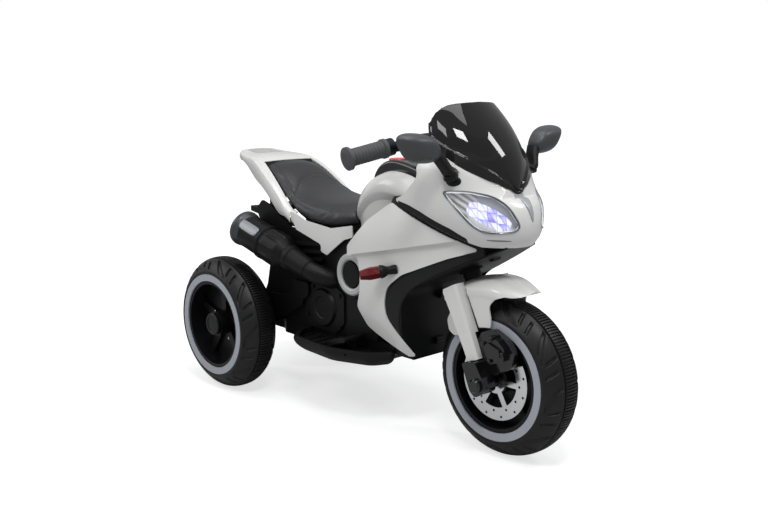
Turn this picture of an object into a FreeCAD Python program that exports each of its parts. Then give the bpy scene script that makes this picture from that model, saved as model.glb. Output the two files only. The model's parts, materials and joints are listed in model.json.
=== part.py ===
import FreeCAD, Part
import math
import os

# Kids electric motorbike: one steered front wheel and two driven rear wheels.
# Millimetres. +X is forward, +Y is the rider's left, +Z is up. The origin is on the floor, midway between
# the axles, on the centre plane. Right-hand pieces are drawn at -Y and left-hand ones mirror them.
# Outlines are written from the axle that they belong to, so they follow it when a wheel size changes.

V = FreeCAD.Vector

# Stance
WHEELBASE = 624.0
REAR_TRACK = 292.0
RAKE = 27.0

# Wheels
TYRE_RADIUS = 135.0
TYRE_WIDTH = 82.0
SHOULDER_DROP = 27.0
SHOULDER_POWER = 2.6
TYRE_WALL = 15.0
TREAD_GROOVE_OFFSET = 15.0
TREAD_GROOVE_WIDTH = 3.2
TREAD_GROOVE_DEPTH = 3.5
LUG_COUNT = 26
LUG_GROOVE_WIDTH = 5.0
BAND_OUTER = 103.0
BAND_INNER = 89.0
BAND_THICKNESS = 3.0
RIM_BARREL = 6.0
SPOKE_COUNT = 5
SPOKE_WIDTH = 15.0
SPOKE_DEPTH = 18.0
HUB_RADIUS = 25.0
HUB_LENGTH = 60.0
AXLE_RADIUS = 6.0
DISC_RADIUS = 69.0
DISC_INNER = 47.0
DISC_THICKNESS = 2.6
DISC_ARMS = 6
DISC_HOLES = 24
DISC_HOLE_RADIUS = 2.2
CAP_RADIUS = 23.0
CAP_DEPTH = 10.0

# Fits and walls
FIT = 0.06
PANEL_GAP = 0.5
WALL = 2.6

# Fork and steering
FORK_SPREAD = 114.0
FORK_LEG_RADIUS = 10.0
LUG_REACH = 22.0
YOKE_HEIGHT = 16.0
YOKE_GAP = 12.0
FENDER_GAP = 33.0
FENDER_CROWN = 6.0
STEM_RADIUS = 12.5
BUSH_RADIUS = 17.0
BUSH_LENGTH = 10.0
BUSH_FLANGE = 3.0
ARCH_GAP = 16.0
BAR_RADIUS = 9.0
GRIP_RADIUS = 14.0
GRIP_LENGTH = 80.0
GRIP_START = 100.0
GRIP_SWEEP = 10.0
GRIP_DROOP = 11.0
STEM_LENGTH = 268.0
BUSH_DROP = 39.0

# Body widths, each half of the full width
FAIRING_HALF = 113.0
FAIRING_TAPER = 0.0012
FAIRING_CROWN = 0.0021
FAIRING_TUCK = 0.0019
CREASE_STEP = 7.0
CREASE_SLOPE = 0.22
SHIELD_INSET = 3.4
COWL_HALF = 108.0
TANK_HALF = 78.0
TANK_SHOULDER = 38.0
KNEE_RECESS = 9.0
SEAT_HALF = 84.0
SEAT_BULGE = 8.0
WELT_WIDTH = 4.0
WELT_DEPTH = 3.5
PAN_THICKNESS = 4.0
TRIM_HALF = 93.0
ENGINE_HALF = 79.2
TUB_HALF = 76.0
FOOTBOARD_HALF = 149.0

# Tray heights above the floor
TRAY_BOTTOM = 120.0
TUB_TOP = 160.0
CHIN_RISE = 26.0
CHIN_LENGTH = 36.0
FOOT_BOTTOM = 122.0
FOOT_FLOOR = 139.0
FOOT_RIM = 149.0
FOOT_RIM_WIDTH = 7.0
FOOT_RIBS = 9

# Controls and small parts
PEDAL_LENGTH = 62.0
PEDAL_WIDTH = 46.0
PEDAL_ANGLE = 17.0
PEDAL_PIN_RADIUS = 2.5
START_RADIUS = 19.0
HORN_RADIUS = 8.0
BUTTON_HEIGHT = 5.0
ROCKER_LENGTH = 24.0
ROCKER_WIDTH = 12.0
SOCKET_RADIUS = 8.0
SOCKET_BORE = 2.8
RING_RADIUS = 39.0
RING_INNER = 26.0
MUFFLER_RADIUS = 30.0
MUFFLER_LENGTH = 232.0
MIRROR_PIN_RADIUS = 5.0
MIRROR_PIN_LENGTH = 12.0
GEARBOX_RADIUS = 27.0
MOTOR_RADIUS = 18.0

FRONT = V(WHEELBASE / 2, 0, TYRE_RADIUS)
REAR = V(-WHEELBASE / 2, 0, TYRE_RADIUS)
Y_AXIS = V(0, 1, 0)
BAND_FACE = TYRE_WIDTH / 2


def out_of(axle, points):
    """Points written from an axle, as (along, up) pairs, given in the whole bike's frame."""
    return [(axle.x + p[0], axle.z + p[1]) for p in points]


def radii_of(points):
    """Corner radius of each outline point, its third number, or a small break."""
    return [p[2] if len(p) > 2 else 2.0 for p in points]


def mirrored(shape):
    """The left-hand twin of a right-hand shape."""
    return shape.mirror(V(0, 0, 0), Y_AXIS)


def both_sides(shape):
    """A shape and its twin as one group."""
    return Part.makeCompound([shape, mirrored(shape)])


def rounded_wire(corners, radii):
    """Closed flat wire through the corners, each rounded by an arc tangent to both runs."""
    count = len(corners)
    starts, arcs = [], []
    for i, corner in enumerate(corners):
        back = corners[i - 1] - corner
        ahead = corners[(i + 1) % count] - corner
        half = back.getAngle(ahead) / 2
        cut = min(radii[i] / math.tan(half), 0.48 * back.Length, 0.48 * ahead.Length)
        back.normalize()
        ahead.normalize()
        bisector = (back + ahead).normalize()
        first = corner + back * cut
        last = corner + ahead * cut
        reach = cut / math.cos(half)
        middle = corner + bisector * (reach - cut * math.tan(half))
        starts.append((first, last))
        arcs.append(Part.Arc(first, middle, last).toShape())
    edges = []
    for i in range(count):
        edges.append(arcs[i])
        edges.append(Part.makeLine(starts[i][1], starts[(i + 1) % count][0]))
    return Part.Wire(edges)


def side_face(points, radii, y=0.0):
    """Flat face from an outline in the side view."""
    return Part.Face(rounded_wire([V(x, y, z) for x, z in points], radii))


def side_prism(points, radii, y_from, y_to):
    """Outline in the side view carried across the bike."""
    return side_face(points, radii, y_from).extrude(V(0, y_to - y_from, 0))


def plan_prism(points, radii, z_from, z_to):
    """Outline in the plan view carried upward."""
    face = Part.Face(rounded_wire([V(x, y, z_from) for x, y in points], radii))
    return face.extrude(V(0, 0, z_to - z_from))


def box(x, y, z):
    """Block between the two values given for each axis."""
    return Part.makeBox(x[1] - x[0], y[1] - y[0], z[1] - z[0], V(x[0], y[0], z[0]))


def rod(radius, start, end):
    """Round bar between two points."""
    run = end - start
    return Part.makeCylinder(radius, run.Length, start, run)


def rod_across(radius, x, z, y_from, y_to):
    """Round bar across the bike."""
    return rod(radius, V(x, y_from, z), V(x, y_to, z))


def turned(profile, axis_start, axis_run):
    """Solid of revolution: the profile lists (distance along the axis, radius) pairs."""
    run = V(axis_run).normalize()
    side = run.cross(V(0, 0, 1) if abs(run.z) < 0.9 else V(1, 0, 0)).normalize()
    corners = [axis_start + run * s + side * r for s, r in profile]
    face = Part.Face(Part.makePolygon(corners + corners[:1]))
    return face.revolve(axis_start, run, 360)


def smooth_edge(points):
    """One smooth curve through the points."""
    curve = Part.BSplineCurve()
    curve.interpolate(points)
    return curve.toShape()


def fused(first, others):
    """All the shapes as one."""
    return first.multiFuse(others).removeSplitter()


def skin_face(width_of, x_range, z_range, steps=9):
    """Curved face at y = -width_of(x, z) over a rectangle of the side view."""
    xs = [x_range[0] + (x_range[1] - x_range[0]) * i / (steps - 1) for i in range(steps)]
    zs = [z_range[0] + (z_range[1] - z_range[0]) * i / (steps - 1) for i in range(steps)]
    surface = Part.BSplineSurface()
    surface.interpolate([[V(x, -width_of(x, z), z) for z in zs] for x in xs])
    return surface.toShape()


def skin_panel(width_of, points, radii, wall):
    """Panel of a curved skin, cut to an outline in the side view."""
    xs = [p[0] for p in points]
    zs = [p[1] for p in points]
    margin = 6.0
    face = skin_face(width_of, (min(xs) - margin, max(xs) + margin), (min(zs) - margin, max(zs) + margin))
    slab = face.extrude(V(0, wall, 0))
    return slab.common(side_prism(points, radii, -400, 100))


def in_fork(shape):
    """Place a shape drawn upright about the front axle onto the raked steering axis."""
    placed = shape.copy()
    placed.Placement = FreeCAD.Placement(FRONT, FreeCAD.Rotation(Y_AXIS, -RAKE)).multiply(shape.Placement)
    return placed


def fork_point(ahead, across, up):
    """Point given along, across and up the raked steering axis from the front axle."""
    lean = math.radians(RAKE)
    return FRONT + V(ahead * math.cos(lean) - up * math.sin(lean), across,
                     ahead * math.sin(lean) + up * math.cos(lean))


# Wheels, drawn about the Y axis at the origin
def tyre():
    """Moulded tyre: rounded tread, two long grooves, slanted shoulder lugs and a seat for each band."""
    half = TYRE_WIDTH / 2
    edge = TYRE_RADIUS - SHOULDER_DROP
    crown = []
    steps = 12
    for i in range(steps + 1):
        s = -1 + 2 * i / steps
        crown.append(V(0, half * s, TYRE_RADIUS - SHOULDER_DROP * abs(s) ** SHOULDER_POWER))
    seat = half - BAND_THICKNESS
    lip = BAND_OUTER + PANEL_GAP
    inner = [V(0, half, lip), V(0, seat, lip), V(0, seat, BAND_INNER), V(0, -seat, BAND_INNER),
             V(0, -seat, lip), V(0, -half, lip)]
    edges = [smooth_edge(crown), Part.makeLine(crown[-1], inner[0])]
    edges += [Part.makeLine(a, b) for a, b in zip(inner, inner[1:])]
    edges.append(Part.makeLine(inner[-1], crown[0]))
    body = Part.Face(Part.Wire(edges)).revolve(V(0, 0, 0), Y_AXIS, 360)
    floor = TYRE_RADIUS - TREAD_GROOVE_DEPTH
    room = half - TYRE_WALL
    crest = TYRE_RADIUS - TYRE_WALL
    hollow = turned([(-room, 0), (-room, edge), (-room / 2, crest), (room / 2, crest), (room, edge),
                     (room, 0)], V(0, 0, 0), Y_AXIS)
    cuts = [hollow]
    for side in (-1, 1):
        middle = side * TREAD_GROOVE_OFFSET
        low = middle - TREAD_GROOVE_WIDTH / 2
        ring = Part.makeCylinder(TYRE_RADIUS + 5, TREAD_GROOVE_WIDTH, V(0, low, 0), Y_AXIS)
        drop = SHOULDER_DROP * (TREAD_GROOVE_OFFSET / half) ** SHOULDER_POWER
        cuts.append(ring.cut(Part.makeCylinder(floor - drop, TREAD_GROOVE_WIDTH, V(0, low, 0), Y_AXIS)))
    slot = box((-LUG_GROOVE_WIDTH / 2, LUG_GROOVE_WIDTH / 2), (TREAD_GROOVE_OFFSET + 6, half + 4),
               (edge + 4, TYRE_RADIUS + 6))
    slot.rotate(V(0, half * 0.7, TYRE_RADIUS - 9), V(1, 0, 0), -38)
    slot.rotate(V(0, half * 0.7, 0), V(0, 0, 1), 24)
    for i in range(LUG_COUNT):
        right = slot.copy()
        right.rotate(V(0, 0, 0), Y_AXIS, 360 * i / LUG_COUNT)
        left = mirrored(slot)
        left.rotate(V(0, 0, 0), Y_AXIS, 360 * (i + 0.5) / LUG_COUNT)
        cuts += [right, left]
    return body.cut(cuts)


def rim(bore):
    """Deep black wheel centre: barrel, hub and spokes."""
    barrel_out = BAND_INNER - PANEL_GAP
    depth = TYRE_WIDTH - 2 * BAND_THICKNESS
    start = V(0, -depth / 2, 0)
    barrel = Part.makeCylinder(barrel_out, depth, start, Y_AXIS)
    barrel = barrel.cut(Part.makeCylinder(barrel_out - RIM_BARREL, depth, start, Y_AXIS))
    hub = Part.makeCylinder(HUB_RADIUS, HUB_LENGTH, V(0, -HUB_LENGTH / 2, 0), Y_AXIS)
    spokes = []
    for i in range(SPOKE_COUNT):
        spoke = box((-SPOKE_WIDTH / 2, SPOKE_WIDTH / 2), (-SPOKE_DEPTH / 2, SPOKE_DEPTH / 2),
                    (HUB_RADIUS - 4, barrel_out - RIM_BARREL + 2))
        spoke.rotate(V(0, 0, 0), Y_AXIS, 360 * i / SPOKE_COUNT)
        spokes.append(spoke)
    web = Part.makeCylinder(barrel_out - 1, 3, V(0, -1.5, 0), Y_AXIS)
    body = fused(barrel, [hub, web] + spokes)
    return body.cut(Part.makeCylinder(bore, HUB_LENGTH + 4, V(0, -HUB_LENGTH / 2 - 2, 0), Y_AXIS))


def band(side):
    """Pale sidewall ring set flush into one face of the tyre."""
    start = V(0, side * BAND_FACE - (BAND_THICKNESS if side > 0 else 0), 0)
    ring = Part.makeCylinder(BAND_OUTER, BAND_THICKNESS, start, Y_AXIS)
    return ring.cut(Part.makeCylinder(BAND_INNER + PANEL_GAP, BAND_THICKNESS, start, Y_AXIS))


def brake_disc(side):
    """Perforated disc on six arms, against one end of the hub."""
    y = side * (HUB_LENGTH / 2) - (0 if side > 0 else DISC_THICKNESS)
    start = V(0, y, 0)
    ring = Part.makeCylinder(DISC_RADIUS, DISC_THICKNESS, start, Y_AXIS)
    ring = ring.cut(Part.makeCylinder(DISC_INNER, DISC_THICKNESS, start, Y_AXIS))
    arms = [Part.makeCylinder(HUB_RADIUS - 2, DISC_THICKNESS, start, Y_AXIS)]
    for i in range(DISC_ARMS):
        arm = box((-5, 5), (y, y + DISC_THICKNESS), (HUB_RADIUS - 6, DISC_INNER + 4))
        arm.rotate(V(0, 0, 0), Y_AXIS, 360 * (i + 0.5) / DISC_ARMS)
        arms.append(arm)
    holes = [Part.makeCylinder(AXLE_RADIUS + 6, DISC_THICKNESS, start, Y_AXIS)]
    rows = (DISC_INNER + 6, DISC_RADIUS - 6)
    for i in range(DISC_HOLES):
        angle = 2 * math.pi * i / DISC_HOLES
        reach = rows[i % 2]
        place = V(reach * math.sin(angle), y, reach * math.cos(angle))
        holes.append(Part.makeCylinder(DISC_HOLE_RADIUS, DISC_THICKNESS, place, Y_AXIS))
    return fused(ring, arms).cut(holes)


def hub_cap(side):
    """Cup that hides the axle nut, with a raised lip and a dished middle."""
    start = side * HUB_LENGTH / 2
    cup = turned([(0, 0), (0, CAP_RADIUS - 1), (CAP_DEPTH - 2, CAP_RADIUS), (CAP_DEPTH, CAP_RADIUS - 2),
                  (CAP_DEPTH, CAP_RADIUS - 6), (CAP_DEPTH - 1.5, CAP_RADIUS - 8), (CAP_DEPTH - 1, 0)],
                 V(0, start, 0), V(0, side, 0))
    hollow = turned([(0, 0), (0, CAP_RADIUS - 4), (CAP_DEPTH - 4, CAP_RADIUS - 5), (CAP_DEPTH - 4, 0)],
                    V(0, start, 0), V(0, side, 0))
    return cup.cut(hollow)


# Fork and steering, drawn upright about the front axle and then raked
FENDER_OUTER = TYRE_RADIUS + FENDER_GAP
CEILING = FENDER_OUTER + FENDER_CROWN + ARCH_GAP
YOKE_BOTTOM = TYRE_RADIUS + YOKE_GAP
YOKE_TOP = YOKE_BOTTOM + YOKE_HEIGHT
LEG_Y = FORK_SPREAD / 2
STEM_TOP = YOKE_TOP + STEM_LENGTH
BUSH_SEAT = STEM_TOP - BUSH_DROP
DISC_FACE = HUB_LENGTH / 2 + DISC_THICKNESS


def fork_leg():
    """Right lower leg: tube, axle lug and the moulded caliper ahead of it."""
    tube = rod(FORK_LEG_RADIUS, V(0, -LEG_Y, -4), V(0, -LEG_Y, YOKE_TOP - 1))
    lug = side_prism([(-15, 43.5), (14, 36.5), (17, 8), (12, -16), (-12, -18), (-18, -4)],
                     [4, 4, 8, 8, 8, 10], -LEG_Y - LUG_REACH, -LEG_Y + 8)
    caliper_in = -DISC_FACE - 3
    arm = side_prism([(-8, 8), (24, 10), (62, 6), (80, 26), (76, 52), (54, 78), (28, 80), (8, 66), (-8, 62)],
                     [3, 8, 12, 12, 12, 14, 8, 4, 3], -LEG_Y + 2, -LEG_Y + 13)
    pad = side_prism([(28, 26), (60, 22), (70, 40), (62, 58), (46, 70), (28, 66)], [5] * 6,
                     -LEG_Y - 6, -LEG_Y + 5)
    rib = side_prism([(36, 34), (58, 30), (62, 42), (44, 60), (36, 58)], [4] * 5, -LEG_Y - 10, -LEG_Y)
    inner = side_prism([(30, 38), (52, 44), (54, 58), (46, 66), (32, 60)], [4, 4, 4, 4, 4],
                       -LEG_Y + 10, caliper_in)
    bolts = [rod_across(4, x, z, -LEG_Y - 9, -LEG_Y + 4) for x, z in ((33, 31), (64, 34), (52, 64), (33, 61))]
    body = fused(tube, [lug, arm, pad, rib, inner] + bolts)
    return body.cut(rod_across(AXLE_RADIUS + FIT, 0, 0, -LEG_Y - LUG_REACH - 20, -LEG_Y + 30))


def fork_cover():
    """Right white cover: a tapering faceted sleeve round the leg with a rear lobe."""
    inner_y = -LEG_Y + FORK_LEG_RADIUS - 1
    outer_y = -LEG_Y - FORK_LEG_RADIUS - 4

    def section(up, rear, ahead, inset):
        """One level of the sleeve, with a ridge along the rear third of its outer face."""
        span = ahead - rear
        points = [(rear + inset, inner_y), (rear + inset, outer_y + 9), (rear + 0.22 * span, outer_y + inset),
                  (ahead - 4, outer_y + inset + 1), (ahead - inset, outer_y + 5), (ahead - inset, inner_y)]
        corners = [V(x, y, up) for x, y in points]
        return Part.makePolygon(corners + corners[:1])

    levels = [(40, -13.5, 12.5), (80, -15, 15), (130, -18, 18), (YOKE_TOP + 6, -21, 20)]
    sleeve = Part.makeLoft([section(u, r, a, 0) for u, r, a in levels], True, True)
    levels = [(levels[0][0] - 5,) + levels[0][1:]] + levels[1:3] + [(YOKE_TOP + 0.2, -21, 20)]
    hollow = Part.makeLoft([section(u, r, a, WALL) for u, r, a in levels], True, True)
    slant = side_prism([(-40, 30), (40, 30), (40, 32), (-40, 52)], [0.1] * 4, -200, 0)
    lobe = side_prism([(-10, 88), (-38, 92), (-46, 104), (-42, 122), (-10, 146)], [4, 10, 10, 14, 4],
                      inner_y - 3, inner_y)
    body = fused(sleeve.cut(hollow), [lobe])
    notch = box((8, 40), (-LEG_Y + 1.5, 0), (20, 84))
    brow = side_prism([(-60, 142), (-21.5, 142), (-8, YOKE_TOP + 8), (-60, YOKE_TOP + 8)], [0.1] * 4, -200, 0)
    leg = rod(FORK_LEG_RADIUS + 0.2, V(0, -LEG_Y, 0), V(0, -LEG_Y, YOKE_TOP - 0.5))
    return body.cut([slant, notch, brow, leg])


FENDER_STATIONS = [(-13, 51, 0), (-2, 52, 1), (10, 52, 0), (20, 50, -2), (30, 46, -6), (39, 39, -13),
                   (48, 29, -23)]
FENDER_DEPTH = 92.0


def yoke_plan(grow):
    """Plan outline of the lower yoke."""
    end = LEG_Y + FORK_LEG_RADIUS + 0.4 + grow
    points = [(-14 - grow, -end), (14 + grow, -end), (18 + grow, 0), (14 + grow, end), (-14 - grow, end),
              (-18 - grow, 0)]
    return points, [13, 13, 30, 13, 13, 30]


def fender_section(turn, half, lift):
    """Arch of the fender in the plane through the axle at one turn: straight cheeks and a crowned top."""
    crown = FENDER_OUTER + FENDER_CROWN + lift
    low = min(FENDER_DEPTH, crown - 50)
    knee = crown - 30

    def top(wide, high, order):
        """Crowned top between the cheeks, with a soft ridge along the middle."""
        shares = [(-1, 0), (-0.95, 0.55), (-0.72, 0.84), (-0.36, 0.94), (0, 1.0), (0.36, 0.94), (0.72, 0.84),
                  (0.95, 0.55), (1, 0)]
        return [V(0, wide * u, knee + (high - knee) * v) for u, v in shares][::order]

    outer, inner = top(half, crown, 1), top(half - WALL, crown - WALL, -1)
    feet = [V(0, half, low), V(0, half - WALL, low), V(0, WALL - half, low), V(0, -half, low)]
    wire = Part.Wire([smooth_edge(outer), Part.makeLine(outer[-1], feet[0]), Part.makeLine(feet[0], feet[1]),
                      Part.makeLine(feet[1], inner[0]), smooth_edge(inner), Part.makeLine(inner[-1], feet[2]),
                      Part.makeLine(feet[2], feet[3]), Part.makeLine(feet[3], outer[0])])
    wire.rotate(V(0, 0, 0), Y_AXIS, turn)
    return wire


def front_fender():
    """White visor over the front tyre: deep cheeks by the fork, a drooping bill, two bosses on the yoke."""
    shell = Part.makeLoft([fender_section(*row) for row in FENDER_STATIONS], True)
    below = side_prism([(-60, 60), (-40, 128), (20, 96), (27, 82), (42, 80), (50, 96), (55, 116), (71, 122),
                        (88, 120), (122, 88), (160, 60)], [1, 14, 14, 6, 8, 20, 20, 16, 10, 4, 1], -200, 200)
    bill_points = [(-80, -90), (40, -90), (FENDER_OUTER * 0.64, -33), (FENDER_OUTER * 0.73, 0),
                   (FENDER_OUTER * 0.64, 33), (40, 90), (-80, 90)]
    bill = plan_prism(bill_points, [1, 40, 24, 30, 24, 40, 1], 0, 300)
    leg_gap = side_prism([(-60, 40), (22, 40), (24, YOKE_TOP + 9), (-60, YOKE_TOP + 9)], [1] * 4,
                         -200, -LEG_Y + 9.4)
    yoke_room = plan_prism(*yoke_plan(1.0), YOKE_BOTTOM - 30, YOKE_TOP + 1)
    shell = shell.cut([below, leg_gap, mirrored(leg_gap), yoke_room]).common(bill)
    bosses = [rod(6, V(0, y, YOKE_TOP + 0.1), V(0, y, FENDER_OUTER + 2)) for y in (-28, 28)]
    return fused(shell, bosses).cut(rod(STEM_RADIUS + 4, V(0, 0, YOKE_TOP - 5), V(0, 0, YOKE_TOP + 60)))


def steering_stem():
    """Steel stem welded to the lower yoke that holds both legs, with a stop collar under the lower bush."""
    stem = rod(STEM_RADIUS, V(0, 0, YOKE_BOTTOM + 2), V(0, 0, STEM_TOP))
    collar = rod(STEM_RADIUS + 3, V(0, 0, YOKE_TOP), V(0, 0, CEILING - BUSH_FLANGE - 0.3))
    yoke = plan_prism(*yoke_plan(0), YOKE_BOTTOM, YOKE_TOP)
    holes = [rod(FORK_LEG_RADIUS + 0.1, V(0, s * LEG_Y, YOKE_BOTTOM - 5), V(0, s * LEG_Y, YOKE_TOP - 1))
             for s in (-1, 1)]
    return fused(yoke, [stem, collar]).cut(holes)


def bush(level, flange_side):
    """Flanged ring that the stem turns in."""
    low, high = (level, level + BUSH_LENGTH)
    flange = (low - BUSH_FLANGE, low) if flange_side < 0 else (high, high + BUSH_FLANGE)
    body = rod(BUSH_RADIUS - 0.2, V(0, 0, low), V(0, 0, high))
    lip = rod(BUSH_RADIUS + 4, V(0, 0, flange[0]), V(0, 0, flange[1]))
    return fused(body, [lip]).cut(rod(STEM_RADIUS + FIT, V(0, 0, low - 20), V(0, 0, high + 20)))


BAR_CENTRE = fork_point(0, 0, STEM_TOP - 12)


def grip_ends():
    """Inner and outer end of the right grip, on the bar's centre line."""
    sweep = math.radians(GRIP_SWEEP)
    droop = math.radians(GRIP_DROOP)
    start = V(BAR_CENTRE.x - 6, -GRIP_START, BAR_CENTRE.z + 4)
    run = V(-math.sin(sweep), -math.cos(sweep) * math.cos(droop), -math.sin(droop)).normalize()
    return start, start + run * GRIP_LENGTH, run


def handlebar():
    """Clamp block on the stem with a bent bar out to both grips and a pad over the middle."""
    start, end, run = grip_ends()
    elbow = V(BAR_CENTRE.x, -52, BAR_CENTRE.z + 8)
    tip = end - run * 6
    right = fused(rod(BAR_RADIUS, V(BAR_CENTRE.x, 0, BAR_CENTRE.z + 8), elbow),
                  [Part.makeSphere(BAR_RADIUS, elbow), rod(BAR_RADIUS, elbow, start),
                   Part.makeSphere(BAR_RADIUS, start), rod(BAR_RADIUS, start, tip)])
    block = in_fork(plan_prism([(-18, -34), (18, -34), (22, 0), (18, 34), (-18, 34), (-22, 0)],
                               [7, 7, 20, 7, 7, 20], STEM_TOP - 18, STEM_TOP + 8))
    socket = in_fork(rod(STEM_RADIUS + 0.1, V(0, 0, STEM_TOP - 40), V(0, 0, STEM_TOP)))
    collar = rod(BAR_RADIUS + 6, start - run * 14, start - run * 0.5)
    return fused(block, [right, mirrored(right), collar, mirrored(collar)]).cut(socket)


def grip():
    """Ribbed rubber sleeve with a guard flange at its outer end."""
    start, end, run = grip_ends()
    profile = [(0, 0), (0, GRIP_RADIUS + 3), (6, GRIP_RADIUS + 3), (8, GRIP_RADIUS)]
    ribs = 9
    pitch = (GRIP_LENGTH - 22) / ribs
    for i in range(ribs):
        along = 10 + i * pitch
        profile += [(along, GRIP_RADIUS), (along + 1, GRIP_RADIUS + 1), (along + pitch - 3, GRIP_RADIUS + 1),
                    (along + pitch - 2, GRIP_RADIUS)]
    last = GRIP_LENGTH
    profile += [(last - 9, GRIP_RADIUS), (last - 8, GRIP_RADIUS + 6), (last - 3, GRIP_RADIUS + 6),
                (last, GRIP_RADIUS - 2), (last, 0)]
    hole = rod(BAR_RADIUS + 0.1, start - run, end - run * 5.5)
    return turned(profile, start, run).cut(hole)


# Body panels
COWL_LEVELS = [(215, 26, 64, 66), (227, 34, 78, 78), (250, 45, 94, 89), (270, 44, 103, 94),
               (295, 34, COWL_HALF, 97), (311, 19, COWL_HALF, 97), (335, 5, COWL_HALF - 1, 95),
               (360, -9, COWL_HALF - 7, 92), (390, -26, COWL_HALF - 13, 88)]
COWL_MIDDLE = -82.0
COWL_REAR = -184.0
COWL_SIDE = [(80, 224), (34, 226, 10), (-9, 227, 6), (-175, 292, 3), (-149, 303, 20), (-113, 336, 20),
             (-122, 355, 8), (-75, 376, 6), (-17, 342, 60), (3, 328, 12), (11, 317, 4), (15, 305.5, 3),
             (80, 296)]
COWL_SHELF = [(-50, 361), (-17, 342, 60), (3, 328, 12), (11, 317, 4), (15, 305.5, 3), (60, 299),
              (60, 296), (12.6, 303, 3), (8.6, 315.5, 4), (1, 325.8, 12), (-19, 339.5, 60), (-50, 358)]
SCREEN_LEVELS = [(303, 17, -69, 101), (335, 9, -76, 99), (373, -7, -86, 95), (410, -32, -104, 89),
                 (440, -59, -115, 77), (462, -82, -124, 64)]
SCREEN_TOP = 457.0
LENS_TURN = 45.0
LENS_OUTLINE = [(-118, 318, 4), (-74, 319, 30), (-33, 311, 30), (-8, 295, 20), (12, 264, 8), (4, 253, 6),
                (-46, 251, 12), (-68, 263, 20), (-91, 288, 30)]


def half_round(level, nose, middle, half, rear, rear_half, inset):
    """Plan section of the nose: an elliptical front running into straight sides."""
    z = FRONT.z + level
    reach = nose - middle - inset
    wide = half - inset
    points = [V(FRONT.x + rear, -(rear_half - inset), z)]
    for i in range(13):
        turn = math.radians(-90 + 15 * i)
        points.append(V(FRONT.x + middle + reach * math.cos(turn), wide * math.sin(turn), z))
    points.append(V(FRONT.x + rear, rear_half - inset, z))
    return Part.Wire([smooth_edge(points), Part.makeLine(points[-1], points[0])])


def cowl_body(inset):
    """Solid nose form, shrunk by the inset all round and open past the real form's ends."""
    past = inset / 2
    levels = [list(row) for row in COWL_LEVELS]
    levels[0][0] -= past
    levels[-1][0] += past
    return Part.makeLoft([half_round(z, nose, COWL_MIDDLE, half, COWL_REAR - 2 * past, rear_half, inset)
                          for z, nose, half, rear_half in levels], True)


def lens_prism(shrink):
    """Right headlamp outline carried through the cowl square to its own diagonal plane."""
    turn = math.radians(LENS_TURN)
    along = V(math.sin(turn), math.cos(turn), 0)
    out = V(math.cos(turn), -math.sin(turn), 0)
    base = V(FRONT.x, 0, FRONT.z)
    corners = [base + along * s + V(0, 0, h) for s, h, _ in LENS_OUTLINE]
    wire = rounded_wire(corners, [p[2] for p in LENS_OUTLINE])
    face = Part.Face(wire)
    if shrink:
        face = Part.Face(wire.makeOffset2D(-shrink))
    return face.extrude(out * 260)


def side_cut(points, y=300):
    """Outline from the front axle carried right across the bike."""
    return side_prism(out_of(FRONT, points), radii_of(points), -y, y)


def nose_cowl(outer, inner):
    """White shell with two headlamp openings and a shelf under the screen, open at the back."""
    shell = outer.cut(inner).common(side_cut(COWL_SIDE))
    window = lens_prism(0)
    foot = mirror_pin()
    socket = rod(MIRROR_PIN_RADIUS + 11, foot[0] - foot[1] * 8, foot[0] + foot[1] * (MIRROR_PIN_LENGTH + 2))
    socket = socket.common(outer)
    seat = rod(MIRROR_PIN_RADIUS + 10.5, foot[0] - foot[1] * 30, foot[0] - foot[1] * 2.2)
    hole = rod(MIRROR_PIN_RADIUS + FIT, foot[0] - foot[1] * 40, foot[0] + foot[1] * (MIRROR_PIN_LENGTH + 0.5))
    shelf = outer.common(side_cut(COWL_SHELF))
    body = fused(shell, [socket, mirrored(socket), shelf])
    return body.cut([window, mirrored(window), hole, mirrored(hole), seat, mirrored(seat)])


def headlight_lens(outer):
    """Clear cover flush with the cowl, set into the opening with a small gap."""
    return outer.cut(cowl_body(2.2)).common(lens_prism(PANEL_GAP))


def headlight_bowl(layers):
    """Open bowl behind the lens."""
    tray = layers[0].cut(layers[2]).common(lens_prism(PANEL_GAP))
    hollow = layers[0].cut(layers[1]).common(lens_prism(4.0))
    return tray.cut(hollow)


def headlight_leds(layers):
    """Three round lamps standing on the floor of the bowl."""
    turn = math.radians(LENS_TURN)
    out = V(math.cos(turn), -math.sin(turn), 0)
    along = V(math.sin(turn), math.cos(turn), 0)
    lamps = []
    for s, h, radius in ((-49, 284, 11.5), (-20, 277, 11.5), (-36, 298.5, 5.5)):
        centre = V(FRONT.x, 0, FRONT.z + h) + along * s
        lamps.append(rod(radius, centre, centre + out * 200).common(layers[0].cut(layers[1])))
    return lamps


def windscreen():
    """Dark curved screen, cut to a swept base line and a rounded top."""
    def level(row, inset):
        """One plan section of the screen."""
        z, nose, edge, half = row
        return half_round(z, nose, edge, half, edge - 1 - 30 * (inset > 0), half, inset)

    shell = Part.makeLoft([level(row, 0) for row in SCREEN_LEVELS], True)
    shell = shell.cut(Part.makeLoft([level(row, WALL) for row in SCREEN_LEVELS], True))
    base = [(-260, 600, 1), (-260, 400, 1), (-76, 377.5, 4), (-17, 343.5, 60), (4, 329.5, 12),
            (12.3, 318.5, 4), (16.5, 307, 3), (90, 297, 1), (90, 600, 1)]
    shell = shell.common(side_cut(base))
    top = FRONT.z + SCREEN_TOP
    low, waist = FRONT.z + 290, FRONT.z + 390
    front_view = [V(0, -120, low), V(0, 120, low), V(0, 100, waist), V(0, 71, top - 5), V(0, 0, top),
                  V(0, -71, top - 5), V(0, -100, waist)]
    window = Part.Face(rounded_wire(front_view, [2, 2, 60, 40, 200, 40, 60])).extrude(V(600, 0, 0))
    return shell.common(window)


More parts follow.
